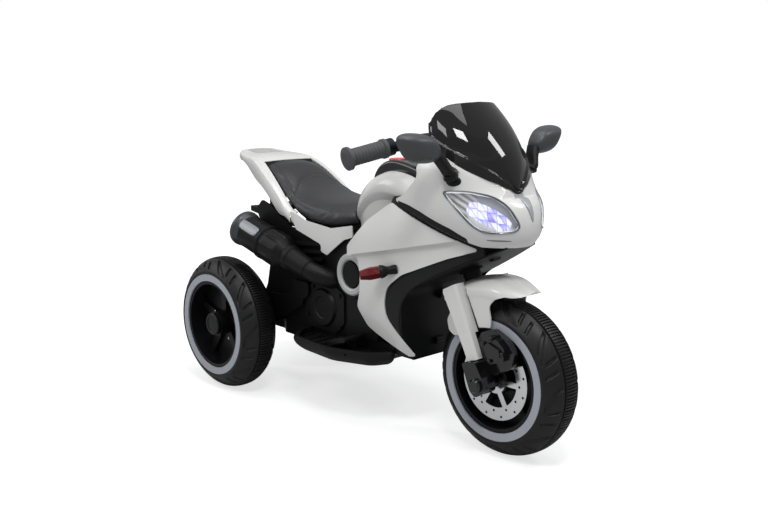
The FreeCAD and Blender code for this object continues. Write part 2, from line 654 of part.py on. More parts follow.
FAIRING = [(-183, 286, 6), (-12, 221, 3), (-67, 202, 40), (-155, 164, 60), (-188, 138, 40), (-195, 108, 50),
           (-194, 82, 40), (-145, 16, 4), (-162, 13, 6), (-250, 54, 25), (-274, 87, 12), (-262, 115, 30),
           (-259, 147, 40), (-267, 178, 3), (-292, 180, 5), (-292, 198, 8), (-238, 249, 60)]
FAIRING_WIDEST = -212.0
CREASE_START = (-292.0, 181.0)
TUCK_LEVEL = 135.0
STRIPE = [(-184, 298, 4), (-6, 234, 4), (-8, 212, 4), (-20, 206, 4), (-190, 266, 4)]
INNER_PANEL = [(-196, 268, 4), (-14, 216, 4), (0, 190, 2), (-150, 6, 2), (-194, 8, 2), (-194, 27, 2),
               (-244, 46, 4), (-252, 178, 8)]
ARCH = [(-146, 34), (-128, 116, 60), (-76, CEILING, 30), (260, CEILING)]

SEAM_SCREWS = ((60, CEILING + 3), (-84, CEILING - 18), (-130, CEILING - 90))


def crease_height(dx):
    """Height of the fairing's crease above the axle at a station."""
    return CREASE_START[1] + CREASE_SLOPE * (dx - CREASE_START[0])


def upper_width(x, z):
    """Half-width of the fairing above the crease."""
    dx = x - FRONT.x
    rise = z - FRONT.z - crease_height(dx)
    return FAIRING_HALF - FAIRING_TAPER * (dx - FAIRING_WIDEST) ** 2 - FAIRING_CROWN * rise ** 2


def lower_width(x, z):
    """Half-width of the fairing under the crease, set in by the step and tucked in at the bottom."""
    dx = x - FRONT.x
    drop = max(0.0, TUCK_LEVEL - (z - FRONT.z))
    plan = FAIRING_HALF - FAIRING_TAPER * (dx - FAIRING_WIDEST) ** 2
    return plan - CREASE_STEP - FAIRING_TUCK * drop ** 2


def fairing_section(dx, wall, grow):
    """Cross-section of the fairing at a station: lower skin, step, upper skin and the same again inside."""
    x = FRONT.x + dx
    crease = FRONT.z + crease_height(dx)
    low, high = FRONT.z - 10, FRONT.z + 300

    def run(width_of, inset, z_from, z_to):
        """One skin between two heights, as evenly spaced points."""
        heights = [z_from + (z_to - z_from) * i / 6 for i in range(7)]
        return [V(x, inset - width_of(x, z), z) for z in heights]

    runs = [run(lower_width, -grow, low, crease), run(upper_width, -grow, crease, high),
            run(upper_width, wall, high, crease + wall), run(lower_width, wall, crease + wall, low)]
    edges = []
    for i, points in enumerate(runs):
        edges.append(smooth_edge(points))
        edges.append(Part.makeLine(points[-1], runs[(i + 1) % 4][0]))
    return Part.Wire(edges)


def fairing_form(wall, grow):
    """The fairing's skin cut to its outline, thicker inside by the wall and outside by the growth."""
    form = Part.makeLoft([fairing_section(dx, wall, grow) for dx in range(-330, 31, 45)], True)
    return form.common(side_prism(out_of(FRONT, FAIRING), radii_of(FAIRING), -400, 100))


def side_fairing():
    """White side panel: a smooth upper half, a stepped crease and a tucked lower leg."""
    return fairing_form(WALL, 0)


def wheel_space(offset):
    """Room kept clear round the steered front wheel: below the ceiling and ahead of the arch."""
    room = ARCH + [(260, -160), (-146, -160)]
    corners = [fork_point(p[0], -200, p[1]) for p in room]
    wire = rounded_wire(corners, radii_of(room))
    if offset:
        wire = wire.makeOffset2D(offset)
    return Part.Face(wire).extrude(V(0, 400, 0))


def front_shield():
    """Right black inner shield: side panel, stripe rail, arch wall and ceiling up to the centre seam."""
    def inset(width_of):
        """The same skin set in behind the white panels."""
        return lambda x, z: width_of(x, z) - SHIELD_INSET

    panel_outline = out_of(FRONT, INNER_PANEL)
    space = wheel_space(0)
    panel = skin_panel(inset(lower_width), panel_outline, radii_of(INNER_PANEL), WALL)
    rail = skin_panel(inset(upper_width), out_of(FRONT, STRIPE), radii_of(STRIPE), WALL + CREASE_STEP + 2)
    reach = (FRONT.x - 330, FRONT.x + 60)
    core = skin_face(inset(lower_width), reach, (FRONT.z - 30, FRONT.z + 320)).extrude(V(0, 300, 0))
    arch = wheel_space(WALL).cut(space).common(core)
    arch = arch.common(box((FRONT.x - 220, FRONT.x + 22), (-200, 0), (FRONT.z + 6, FRONT.z + 300)))
    stem = in_fork(rod(BUSH_RADIUS, V(0, 0, 100), V(0, 0, 260)))
    body = fused(arch, [panel.cut(space), rail.cut(space)])
    screws = []
    for ahead, up in SEAM_SCREWS:
        place = fork_point(ahead, 0, up)
        body = fused(body, [rod_across(6.5, place.x, place.z, -9, 0)])
        screws.append(rod_across(2.2, place.x, place.z, -12, 2))
    return body.cut([stem, fairing_form(WALL + PANEL_GAP, 30)] + screws)


# Tank, seat and tail run between the two axles: front stations from the front axle, rear ones from the rear
TANK_STATIONS = [(-331, 42, 262), (-311, 62, 294), (-278, 73, 321), (-237, TANK_HALF, 335),
                 (-182, TANK_HALF, 331), (-120, TANK_HALF - 4, 313)]
TANK_BOTTOM = 215.0


def tank_section(x, half, top, bottom):
    """Knee recess, shoulder crease and crowned top."""
    z = FRONT.z
    shoulder = top - TANK_SHOULDER if top - TANK_SHOULDER > TANK_BOTTOM + 20 else TANK_BOTTOM + 20
    knee = max(half - KNEE_RECESS, 5)
    crown = []
    for i in range(11):
        turn = math.pi * i / 10
        wide = math.copysign(abs(math.cos(turn)) ** 0.6, math.cos(turn))
        crown.append(V(x, half * wide, z + shoulder + (top - shoulder) * math.sin(turn) ** 0.7))
    side = [V(x, -half, z + shoulder), V(x, -knee, z + shoulder - 14), V(x, -knee, z + bottom),
            V(x, knee, z + bottom), V(x, knee, z + shoulder - 14), V(x, half, z + shoulder)]
    return Part.Wire([smooth_edge(crown)] + [Part.makeLine(a, b) for a, b in zip(side, side[1:])])


def tank_body(grow, ends, bottom):
    """Solid tank form, larger or smaller than the real one by a constant."""
    sections = []
    last = len(TANK_STATIONS) - 1
    for i, (dx, half, top) in enumerate(TANK_STATIONS):
        shift = -grow if i == 0 else (ends if i == last else 0)
        sections.append(tank_section(FRONT.x + dx + shift, half + grow, top + grow, bottom))
    return Part.makeLoft(sections, True)


DASH = [(-284, 325, 44), (-272, 341, 43), (-207, 347, 40), (-187, 343, 42), (-144, 329, 40)]
DASH_LOW = 290.0


def dash_section(dx, top, half):
    """Rounded block section of the dash."""
    x = FRONT.x + dx
    z = FRONT.z
    corners = [V(x, -half - 6, z + DASH_LOW), V(x, half + 6, z + DASH_LOW), V(x, half, z + top),
               V(x, -half, z + top)]
    return rounded_wire(corners, [1, 1, 7, 7])


def dash_top(dx):
    """Height of the dash's top face at a station."""
    for (x0, z0, _), (x1, z1, _) in zip(DASH, DASH[1:]):
        if x0 <= dx <= x1:
            return z0 + (z1 - z0) * (dx - x0) / (x1 - x0)
    return DASH[-1][1]


START_PLACE = (-250.0, -16.0)
HORN_PLACE = (-246.0, 24.0)
ROCKER_PLACE = (-220.0, 24.0)


def button(place, radius):
    """Round push button with a domed cap, a stem in the dash and a retaining foot."""
    z = FRONT.z + dash_top(place[0])
    cap = [(-10, 0), (-10, radius), (BUTTON_HEIGHT - 1.5, radius), (BUTTON_HEIGHT, radius - 2),
           (BUTTON_HEIGHT, 0)]
    return turned(cap, V(FRONT.x + place[0], place[1], z), V(0, 0, 1))


def button_well(place, radius):
    """Room for a button and its travel."""
    x, z = FRONT.x + place[0], FRONT.z + dash_top(place[0])
    return rod(radius + 0.4, V(x, place[1], z - 14), V(x, place[1], z + 20))


def rocker():
    """Direction switch: a shallow V cap on a cross pin."""
    x = FRONT.x + ROCKER_PLACE[0]
    z = FRONT.z + dash_top(ROCKER_PLACE[0])
    half = ROCKER_LENGTH / 2
    cap = side_prism([(x - half, z + 4), (x, z + 1.5), (x + half, z + 4), (x + half - 1.5, z - 1), (x, z - 5),
                      (x - half + 1.5, z - 1)], [1, 20, 1, 1.5, 3, 1.5],
                     ROCKER_PLACE[1] - ROCKER_WIDTH / 2, ROCKER_PLACE[1] + ROCKER_WIDTH / 2)
    return fused(cap, [rod_across(2, x, z - 3, ROCKER_PLACE[1] - ROCKER_WIDTH / 2 - 2.5,
                                  ROCKER_PLACE[1] + ROCKER_WIDTH / 2 + 2.5)])


def dash_panel(tank_solid):
    """Black block seated on the tank, with wells for the controls and the stem's upper bush."""
    block = Part.makeLoft([dash_section(*row) for row in DASH], True)
    wells = [tank_solid, button_well(START_PLACE, START_RADIUS), button_well(HORN_PLACE, HORN_RADIUS)]
    x = FRONT.x + ROCKER_PLACE[0]
    z = FRONT.z + dash_top(ROCKER_PLACE[0])
    half = ROCKER_LENGTH / 2 + 1
    wells.append(box((x - half, x + half), (ROCKER_PLACE[1] - ROCKER_WIDTH / 2 - 0.4,
                                            ROCKER_PLACE[1] + ROCKER_WIDTH / 2 + 0.4), (z - 10, z + 20)))
    wells.append(rod_across(2 + FIT, x, z - 3, ROCKER_PLACE[1] - ROCKER_WIDTH / 2 - 3,
                            ROCKER_PLACE[1] + ROCKER_WIDTH / 2 + 3))
    wells.append(in_fork(rod(BUSH_RADIUS, V(0, 0, 300), V(0, 0, BUSH_SEAT + 1))))
    wells.append(in_fork(rod(BUSH_RADIUS + 4.4, V(0, 0, BUSH_SEAT), V(0, 0, BUSH_SEAT + 80))))
    boss = in_fork(rod(BUSH_RADIUS + 6, V(0, 0, BUSH_SEAT - 30), V(0, 0, BUSH_SEAT)))
    return fused(block, [boss]).cut(wells)


def seat_stations():
    """Station, half-width, underside, edge and crown heights of the seat, front to back."""
    return [(FRONT.x - 318, SEAT_HALF - 28, 229, 249, 256), (FRONT.x - 362, SEAT_HALF - 8, 219, 250, 262),
            (FRONT.x - 422, SEAT_HALF, 223, 255, 265), (REAR.x + 147, SEAT_HALF - 2, 241, 267, 276),
            (REAR.x + 87, SEAT_HALF - 10, 277, 296, 305), (REAR.x + 22, SEAT_HALF - 24, 302, 319, 327)]


def seat_section(x, half, low, edge, crown, shrink):
    """Flat underside, bulging sides and a crowned top."""
    z = FRONT.z
    foot = half - SEAT_BULGE - shrink
    rim_y = half - SEAT_BULGE + 1 - shrink
    middle = (low + edge) / 2
    corners = [V(x, -foot, z + low), V(x, foot, z + low), V(x, rim_y, z + edge - shrink),
               V(x, -rim_y, z + edge - shrink)]
    return Part.Wire([
        Part.makeLine(corners[0], corners[1]),
        Part.Arc(corners[1], V(x, half - shrink, z + middle), corners[2]).toShape(),
        Part.Arc(corners[2], V(x, 0, z + crown - shrink), corners[3]).toShape(),
        Part.Arc(corners[3], V(x, -half + shrink, z + middle), corners[0]).toShape()])


def seat_cushion(tank_room):
    """Padded seat with a drawn-in welt across it and one behind the rider's pad."""
    body = Part.makeLoft([seat_section(*row, 0) for row in seat_stations()], True)
    core = Part.makeLoft([seat_section(*row, WELT_DEPTH) for row in seat_stations()], True)
    grooves = []
    for x in (REAR.x + 134, REAR.x + 42):
        slab = box((x, x + WELT_WIDTH), (-200, 200), (FRONT.z + 200, FRONT.z + 400))
        grooves.append(slab.cut(core))
    return body.cut([tank_room] + grooves)


def seat_pan(tank_room):
    """Plastic pan that the cushion is stapled to."""
    def section(x, half, low, edge, crown):
        """Thin strip under one station of the cushion."""
        wide = half - SEAT_BULGE - 1
        z = FRONT.z + low
        low_z = z - PAN_THICKNESS
        corners = [V(x, -wide, low_z), V(x, wide, low_z), V(x, wide, z), V(x, -wide, z)]
        return Part.makePolygon(corners + corners[:1])

    return Part.makeLoft([section(*row) for row in seat_stations()], True).cut(tank_room)


def seat_room():
    """Room for the seat and pan in the tail, open at the top."""
    def section(x, half, low, edge, crown):
        """Slightly larger than the cushion at one station."""
        z = FRONT.z + low
        wide = half + 1.0
        corners = [V(x, -wide, z - PAN_THICKNESS - 0.6), V(x, wide, z - PAN_THICKNESS - 0.6),
                   V(x, wide, z + 160), V(x, -wide, z + 160)]
        return Part.makePolygon(corners + corners[:1])

    rows = seat_stations()
    x, half, low, edge, crown = rows[-1]
    rows[-1] = (x - 1.5, half, low, edge, crown)
    return Part.makeLoft([section(*row) for row in rows], True)


TAIL_STATIONS = [(146, 95, 209, 241), (112, 95, 221, 267), (77, 92, 245, 293), (37, 86, 270, 317),
                 (7, 78, 280, 329), (-33, 66, 301, 335), (-73, 54, 317, 339), (-101, 38, 325, 338)]
TAIL_ROOF = 326.5
GRAB_SLOT = [(-84, -30), (-84, 30), (-36, 36), (-36, -36)]


def tail_section(x, half, low, top, inset, drop):
    """Slanted side, rounded brow and a nearly flat top."""
    z = FRONT.z
    wide = half - inset
    high = top - inset
    base = low - drop
    middle = base + 0.5 * (high - base)
    foot, belly = V(x, wide - 9, z + base), V(x, wide - 1.5, z + middle)
    brow, rim_in = V(x, wide - 3, z + high - 5), V(x, wide - 9, z + high)
    left = [V(p.x, -p.y, p.z) for p in (foot, belly, brow, rim_in)]
    return Part.Wire([Part.makeLine(left[0], foot), Part.Arc(foot, belly, brow).toShape(),
                      Part.makeLine(brow, rim_in), Part.Arc(rim_in, V(x, 0, z + high + 2), left[3]).toShape(),
                      Part.makeLine(left[3], left[2]), Part.Arc(left[2], left[1], left[0]).toShape()])


def tail_cowl():
    """White tail shell round the back of the seat, ending in a grab bar behind a slot."""
    outer = Part.makeLoft([tail_section(REAR.x + dx, half, low, top, 0, 0)
                           for dx, half, low, top in TAIL_STATIONS], True)
    rows = [(TAIL_STATIONS[0][0] + 2,) + TAIL_STATIONS[0][1:]] + TAIL_STATIONS[1:-1]
    last = TAIL_STATIONS[-1]
    rows.append((last[0] + 3,) + last[1:])
    inner = Part.makeLoft([tail_section(REAR.x + dx, half, low, top, WALL, 14)
                           for dx, half, low, top in rows], True)
    slot_points = [(REAR.x + dx, y) for dx, y in GRAB_SLOT]
    slot = plan_prism(slot_points, [9] * 4, FRONT.z + 280, FRONT.z + 360)
    wall_points = [(REAR.x + dx + (-3 if dx < -60 else 3), y * 1.09) for dx, y in GRAB_SLOT]
    wall = plan_prism(wall_points, [11] * 4, FRONT.z + 300, FRONT.z + 360).common(outer)
    return fused(outer.cut(inner), [wall]).cut([slot, seat_room()])


TRIM_FRONT = [(-291, 211, 3), (-294, 232, 3), (-355, 220, 30)]
TRIM_REAR = [(197, 226, 60), (151, 240, 3), (166, 206, 3), (241, 186, 6), (238, 172, 5), (255, 167, 5)]
TRIM_END = [(-316, 203, 14)]


def trim_outline():
    """Outline of the trim under the seat: each end is written from the axle nearest to it."""
    points = out_of(FRONT, TRIM_FRONT) + out_of(REAR, TRIM_REAR) + out_of(FRONT, TRIM_END)
    return points, radii_of(TRIM_FRONT) + radii_of(TRIM_REAR) + radii_of(TRIM_END)


def seat_trim():
    """White trim strip under the right edge of the seat, standing on two posts from the engine cover."""
    points, radii = trim_outline()

    def width_of(x, z):
        """Gently bowed outward."""
        return TRIM_HALF - 0.002 * (z - FRONT.z - 210) ** 2

    panel = skin_panel(width_of, points, radii, WALL)
    posts = [rod_across(5, x, z, -TRIM_HALF + 2, -ENGINE_HALF)
             for x, z in ((REAR.x + 200, FRONT.z + 205), (FRONT.x - 345, FRONT.z + 203))]
    return fused(panel, posts)


ENGINE_FRONT = [(-252, 190, 10), (-246, 70, 20), (-236, 24, 8)]
ENGINE_REAR = [(165, 15, 12), (118, 18, 30), (8, -22, 16), (-20, 4, 14), (48, 72, 40), (64, 140, 24),
               (16, 230, 8), (36, 250, 8), (70, 240, 20), (100, 221, 12), (134, 205, 8)]
ENGINE_TOP = [(-300, 214, 12)]
RING_PLACE = (-302.0, 140.0)
SOCKET_PLACE = (-312.0, 60.0)


def engine_cover():
    """Right black engine-shaped cover: swing arm, crankcase, clutch drums, cooling fins and a ring seat."""
    points = out_of(FRONT, ENGINE_FRONT) + out_of(REAR, ENGINE_REAR) + out_of(FRONT, ENGINE_TOP)
    radii = radii_of(ENGINE_FRONT) + radii_of(ENGINE_REAR) + radii_of(ENGINE_TOP)
    face = -ENGINE_HALF
    plate = side_prism(points, radii, face, face + 3)
    ring_x, ring_z = FRONT.x + RING_PLACE[0], FRONT.z + RING_PLACE[1]
    drum = turned([(0, 0), (0, RING_RADIUS + 7), (8, RING_RADIUS + 4), (8, RING_RADIUS + 0.3),
                   (5, RING_RADIUS + 0.3), (5, 0)], V(ring_x, face, ring_z), V(0, -1, 0))
    core = turned([(4, 0), (4, RING_INNER - 1), (9, RING_INNER - 3), (10, RING_INNER - 8), (10, 0)],
                  V(ring_x, face, ring_z), V(0, -1, 0))
    crank = turned([(0, 0), (0, 40), (6, 36), (9, 34), (9, 22), (7, 20), (7, 0)],
                   V(REAR.x + 236, face, FRONT.z + 62), V(0, -1, 0))
    arm = side_prism(out_of(REAR, [(8, -14), (-14, 4), (44, 62), (120, 66), (165, 90), (180, 60), (120, 26)]),
                     [12, 12, 24, 30, 14, 14, 30], face - 7, face)
    fins = []
    for i in range(5):
        low = 112 + 15 * i
        fins.append(side_prism(out_of(REAR, [(150, low), (236, low + 10), (236, low + 17), (150, low + 7)]),
                               [2] * 4, face - 8, face))
    case = side_prism(out_of(REAR, [(176, 34), (200, 18), (270, 16), (296, 40), (296, 96), (262, 112),
                                    (196, 104)]), [10, 14, 14, 10, 10, 14, 14], face - 4, face)
    sump = side_prism(out_of(REAR, [(150, 104), (140, 84), (176, 66), (196, 80), (196, 104)]), [6] * 5,
                      face - 10, face)
    bolts = [rod_across(4, REAR.x + x, REAR.z + z, face - 7, face)
             for x, z in ((188, 40), (206, 98), (284, 92), (284, 30), (60, 44), (104, 48))]
    hole = rod_across(AXLE_RADIUS + 6, REAR.x, REAR.z, -200, 0)
    return fused(plate, [drum, core, crank, arm, case, sump] + bolts + fins).cut(hole)


def engine_ring():
    """Pale ring pressed onto the clutch drum."""
    x, z = FRONT.x + RING_PLACE[0], FRONT.z + RING_PLACE[1]
    return turned([(5, RING_INNER), (9, RING_INNER + 1), (11, RING_INNER + 4), (11, RING_RADIUS - 3),
                   (9, RING_RADIUS), (5, RING_RADIUS)], V(x, -ENGINE_HALF, z), V(0, -1, 0))


# Muffler axis from its tail end
MUFFLER_END = V(REAR.x + 19, -113, FRONT.z + 195)
MUFFLER_RUN = V(244, 11, -70).normalize()


def muffler(cover):
    """Black canister with a flared end, ribs, a stepped neck and a pipe into the engine cover."""
    r = MUFFLER_RADIUS
    length = MUFFLER_LENGTH
    can = 0.58 * length
    neck = 0.64 * length
    profile = [(6, 0), (6, r - 9), (0, r - 5), (0, r - 2), (5, r + 2), (13, r + 2), (17, r - 1), (78, r - 1),
               (80, r + 1), (86, r + 1), (88, r - 2), (can, r - 2), (neck, r - 10), (neck + 4, r - 8),
               (neck + 14, r - 8), (neck + 16, r - 11), (length, r - 14), (length, 0)]
    body = turned(profile, MUFFLER_END, MUFFLER_RUN)
    mouth = turned([(-5, 0), (-5, 11), (12, 11), (14, r - 5), (can, r - 6), (neck, r - 14),
                    (0.8 * length, 0)], MUFFLER_END, MUFFLER_RUN)
    side = MUFFLER_RUN.cross(V(0, 0, 1)).normalize()
    up = side.cross(MUFFLER_RUN).normalize()
    ribs = []
    for i in range(10):
        turn = math.radians(36 * i)
        start = MUFFLER_END + (side * math.cos(turn) + up * math.sin(turn)) * (r - 2.5)
        ribs.append(rod(2.8, start + MUFFLER_RUN * 92, start + MUFFLER_RUN * (can - 4)))
    knee = MUFFLER_END + MUFFLER_RUN * (length - 4)
    pipe = rod(r - 15, knee, V(knee.x + 24, -ENGINE_HALF, knee.z - 16))
    strap_at = MUFFLER_END + MUFFLER_RUN * 110
    strap = box((strap_at.x - 7, strap_at.x + 7), (strap_at.y + 12, -ENGINE_HALF),
                (strap_at.z - 8, strap_at.z + 8))
    body = fused(body, [pipe, strap] + ribs).cut(mouth)
    return body.common(box((-600, 600), (-400, -ENGINE_HALF), (0, 900))).cut(cover)


SIGNAL_PLACE = (-170.0, 172.0)
SIGNAL_RUN = V(-0.66, -0.73, -0.17).normalize()


def signal_base():
    """Point on the fairing where the turn signal stands."""
    x, z = FRONT.x + SIGNAL_PLACE[0], FRONT.z + SIGNAL_PLACE[1]
    return V(x, -lower_width(x, z), z)


def signal_stalk():
    """Black stalk and back shell of the right turn signal."""
    base = signal_base()
    stalk = turned([(-6, 0), (-6, 9), (10, 7), (18, 11), (24, 12), (24, 0)], base, SIGNAL_RUN)
    around = 60.0
    skin = skin_face(lambda x, z: lower_width(x, z) + 0.1, (base.x - around, base.x + around),
                     (base.z - around, base.z + around))
    return stalk.cut(skin.extrude(V(0, around, 0)))


def signal_lens():
    """Red lens of the right turn signal, a tapering six-sided gem."""
    base = signal_base()
    lens = []
    side = SIGNAL_RUN.cross(V(0, 0, 1)).normalize()
    up = side.cross(SIGNAL_RUN).normalize()
    for along, wide, tall in ((24.3, 12, 11), (42, 13, 11.5), (59, 10, 8)):
        corners = []
        for i in range(6):
            turn = math.radians(60 * i)
            out = side * (wide * math.cos(turn)) + up * (tall * math.sin(turn))
            corners.append(base + SIGNAL_RUN * along + out)
        lens.append(Part.makePolygon(corners + corners[:1]))
    return Part.makeLoft(lens, True, True)


# Mirrors
MIRROR_FOOT = (-43.0, -97.0, 337.0)
MIRROR_AIM = V(0.0, -0.5, 0.87)
MIRROR_HEAD = (-54.0, -160.0, 391.0)
MIRROR_WIDTH = 98.0
MIRROR_HEIGHT = 50.0
MIRROR_DEPTH = 30.0


def mirror_pin():
    """Foot of the right mirror's pin and the inward run of its axis."""
    foot = V(FRONT.x + MIRROR_FOOT[0], MIRROR_FOOT[1], FRONT.z + MIRROR_FOOT[2])
    return foot, V(MIRROR_AIM).normalize() * -1


def rear_mirror():
    """Right mirror: pin, flat arm and a pointed shell whose rear face takes the glass."""
    foot, inward = mirror_pin()
    pin = rod(MIRROR_PIN_RADIUS, foot - inward * 3, foot + inward * MIRROR_PIN_LENGTH)
    disc = rod(11, foot - inward * 6.5, foot - inward * 3)
    head = V(FRONT.x + MIRROR_HEAD[0], MIRROR_HEAD[1], FRONT.z + MIRROR_HEAD[2])

    def outline(x, scale, nudge):
        """Pointed mirror outline in a plane across the bike."""
        shape = [(-0.5, 0.32), (-0.28, 0.5), (0.28, 0.42), (0.5, -0.1), (0.42, -0.5), (-0.2, -0.42)]
        wide, tall = MIRROR_WIDTH * scale, MIRROR_HEIGHT * scale
        corners = [V(head.x + x, head.y + wide * y + nudge, head.z + tall * z) for y, z in shape]
        return rounded_wire(corners, [6 * scale, 14 * scale, 14 * scale, 8 * scale, 7 * scale, 20 * scale])

    shell = Part.makeLoft([outline(-12, 1.0, 0), outline(2, 0.97, 0), outline(13, 0.72, 4),
                           outline(18, 0.36, 8)], True)
    recess = Part.makeLoft([outline(-13, 0.92, 0), outline(-10.5, 0.92, 0)], True)
    top = V(head.x - 2, head.y + 38, head.z - 14)
    root = foot - inward * 5
    arm = []
    for place, a, b in ((root, 8, 5), ((root + top) * 0.5 + V(0, 2, 0), 11, 6.5), (top, 12, 7)):
        corners = [place + V(-a, -b, 0), place + V(a, -b, 0), place + V(a, b, 0), place + V(-a, b, 0)]
        arm.append(rounded_wire(corners, [3] * 4))
    return fused(pin, [disc, Part.makeLoft(arm, True), shell.cut(recess)])


# Tray, running gear and what is inside
FOOT_OUTLINE = [(-437, -60), (-437, -108), (-408, -FOOTBOARD_HALF + 6), (-300, -FOOTBOARD_HALF), (-226, -120),
                (-196, -84), (-196, -60)]
FOOT_RADII = [1, 22, 26, 60, 30, 16, 1]
PEDAL_PLACE = (-330.0, -108.0)


def foot_plan(inset):
    """Plan outline of the right footboard, drawn in on its outer edges."""
    points = []
    for dx, y in FOOT_OUTLINE:
        along = FRONT.x + dx + (inset if dx < -400 else (-inset if dx > -220 else 0))
        points.append((along, y if y > -61 else y + inset))
    return points


def foot_wire(inset, z):
    """Footboard outline at one height."""
    return rounded_wire([V(x, y, z) for x, y in foot_plan(inset)], FOOT_RADII)


def pedal_pin():
    """Centre of the pedal's hinge pin in the side view."""
    return FRONT.x + PEDAL_PLACE[0], FOOT_FLOOR + 7


def footboard():
    """Right footboard: raised rim, ribbed floor, hollow underside and ears for the pedal."""
    levels = ((FOOT_BOTTOM, 14), (FOOT_BOTTOM + 8, 5), (FOOT_FLOOR, 0), (FOOT_RIM, 1))
    block = Part.makeLoft([foot_wire(inset, z) for z, inset in levels], True)
    well = plan_prism(foot_plan(FOOT_RIM_WIDTH), FOOT_RADII, FOOT_FLOOR, FOOT_RIM + 5)
    under = Part.makeLoft([foot_wire(16, FOOT_BOTTOM - 2), foot_wire(9, FOOT_BOTTOM + 8),
                           foot_wire(4, FOOT_FLOOR - 4)], True)
    body = block.cut([well, under])
    ribs = []
    inner = plan_prism(foot_plan(FOOT_RIM_WIDTH + 4), FOOT_RADII, FOOT_FLOOR - 1, FOOT_FLOOR + 2)
    for i in range(FOOT_RIBS):
        x = FRONT.x - 418 + i * 24
        ribs.append(box((x, x + 4), (-200, -TUB_HALF - 6), (FOOT_FLOOR - 1, FOOT_FLOOR + 2)).common(inner))
    px, pz = pedal_pin()
    ears = []
    for y in (PEDAL_PLACE[1] - PEDAL_WIDTH / 2 - 4.5, PEDAL_PLACE[1] + PEDAL_WIDTH / 2 + 0.5):
        ears.append(side_prism([(px - 6, FOOT_FLOOR - 1), (px + 6, FOOT_FLOOR - 1), (px + 5, pz + 4.5),
                                (px - 5, pz + 4.5)], [0.5, 0.5, 3, 3], y, y + 4))
    body = fused(body, ribs)
    room = box((px - 14, px + PEDAL_LENGTH + 6), (PEDAL_PLACE[1] - PEDAL_WIDTH / 2 - 5,
                                                  PEDAL_PLACE[1] + PEDAL_WIDTH / 2 + 5),
               (FOOT_FLOOR, FOOT_FLOOR + 3))
    return body.cut(room), ears


def chassis_tray():
    """Black lower tub with both footboards, the rear axle cradle and a sloping chin."""
    board, ears = footboard()
    half = TUB_HALF
    tail = REAR.x - 34
    nose = FRONT.x - 200

    def tub(inset):
        """Plan outline of the tub."""
        return [(nose - inset, -half + inset), (REAR.x + 104, -half + inset), (REAR.x + 80, -60 + inset),
                (tail + inset, -60 + inset), (tail + inset, 60 - inset), (REAR.x + 80, 60 - inset),
                (REAR.x + 104, half - inset), (nose - inset, half - inset)]

    body = plan_prism(tub(0), [10, 16, 16, 14, 14, 16, 16, 10], TRAY_BOTTOM, TUB_TOP)
    body = fused(body, [board, mirrored(board)])
    hollow = plan_prism(tub(3), [8, 14, 14, 12, 12, 14, 14, 8], TRAY_BOTTOM + 3, TUB_TOP + 5)
    chin = side_prism([(nose + 5, TRAY_BOTTOM - 9), (nose + 5, TRAY_BOTTOM + CHIN_RISE),
                       (nose, TRAY_BOTTOM + CHIN_RISE - 3), (nose - CHIN_LENGTH, TRAY_BOTTOM),
                       (nose - CHIN_LENGTH - 9, TRAY_BOTTOM - 9)], [0.2] * 5, -TUB_HALF - 1, TUB_HALF + 1)
    hollow = hollow.cut(chin.translated(V(-2, 0, 3)))
    body = fused(body.cut([hollow, chin]), ears)
    px, pz = pedal_pin()
    pin_hole = rod_across(PEDAL_PIN_RADIUS + 0.1, px, pz, PEDAL_PLACE[1] - PEDAL_WIDTH / 2 - 10,
                          PEDAL_PLACE[1] + PEDAL_WIDTH / 2 + 10)
    axle = rod_across(AXLE_RADIUS + 0.1, REAR.x, REAR.z, -120, 120)
    return body.cut([pin_hole, axle])


def accelerator_pedal():
    """Wedge pedal on a cross pin, ribbed on top, with a toe that works the switch."""
    px, pz = pedal_pin()
    low, high = PEDAL_PLACE[1] - PEDAL_WIDTH / 2, PEDAL_PLACE[1] + PEDAL_WIDTH / 2
    toe = px + PEDAL_LENGTH
    pad = side_prism([(px - 3, pz - 3), (toe, pz - 3), (toe + 2, pz + 4), (toe - 6, pz + 6),
                      (px - 3, pz + 4)], [2, 1, 3, 6, 3], low, high)
    under = side_prism([(px + 6, pz - 4), (toe - 4, pz - 4), (toe - 4, pz + 1), (px + 6, pz + 1)],
                       [1] * 4, low + 3, high - 3)
    body = pad.cut(under)
    ribs = []
    for i in range(5):
        x = px + 12 + i * 9
        ribs.append(box((x, x + 3.5), (low + 4, high - 4), (pz + 3.5, pz + 7)))
    pin = rod_across(PEDAL_PIN_RADIUS, px, pz, low - 4.4, high + 4.4)
    whole = fused(body, ribs + [pin])
    whole.rotate(V(px, 0, pz), Y_AXIS, -PEDAL_ANGLE)
    return whole


def pedal_switch():
    """Small switch on the floor under the pedal."""
    px, _ = pedal_pin()
    y = PEDAL_PLACE[1]
    body = box((px + 22, px + 36), (y - 8, y + 8), (FOOT_FLOOR, FOOT_FLOOR + 4.5))
    return fused(body, [rod(2.5, V(px + 29, y, FOOT_FLOOR + 4), V(px + 29, y, FOOT_FLOOR + 7))])


GEARBOX_IN = 61.0
MOTOR_PLACE = (52.0, 18.0)


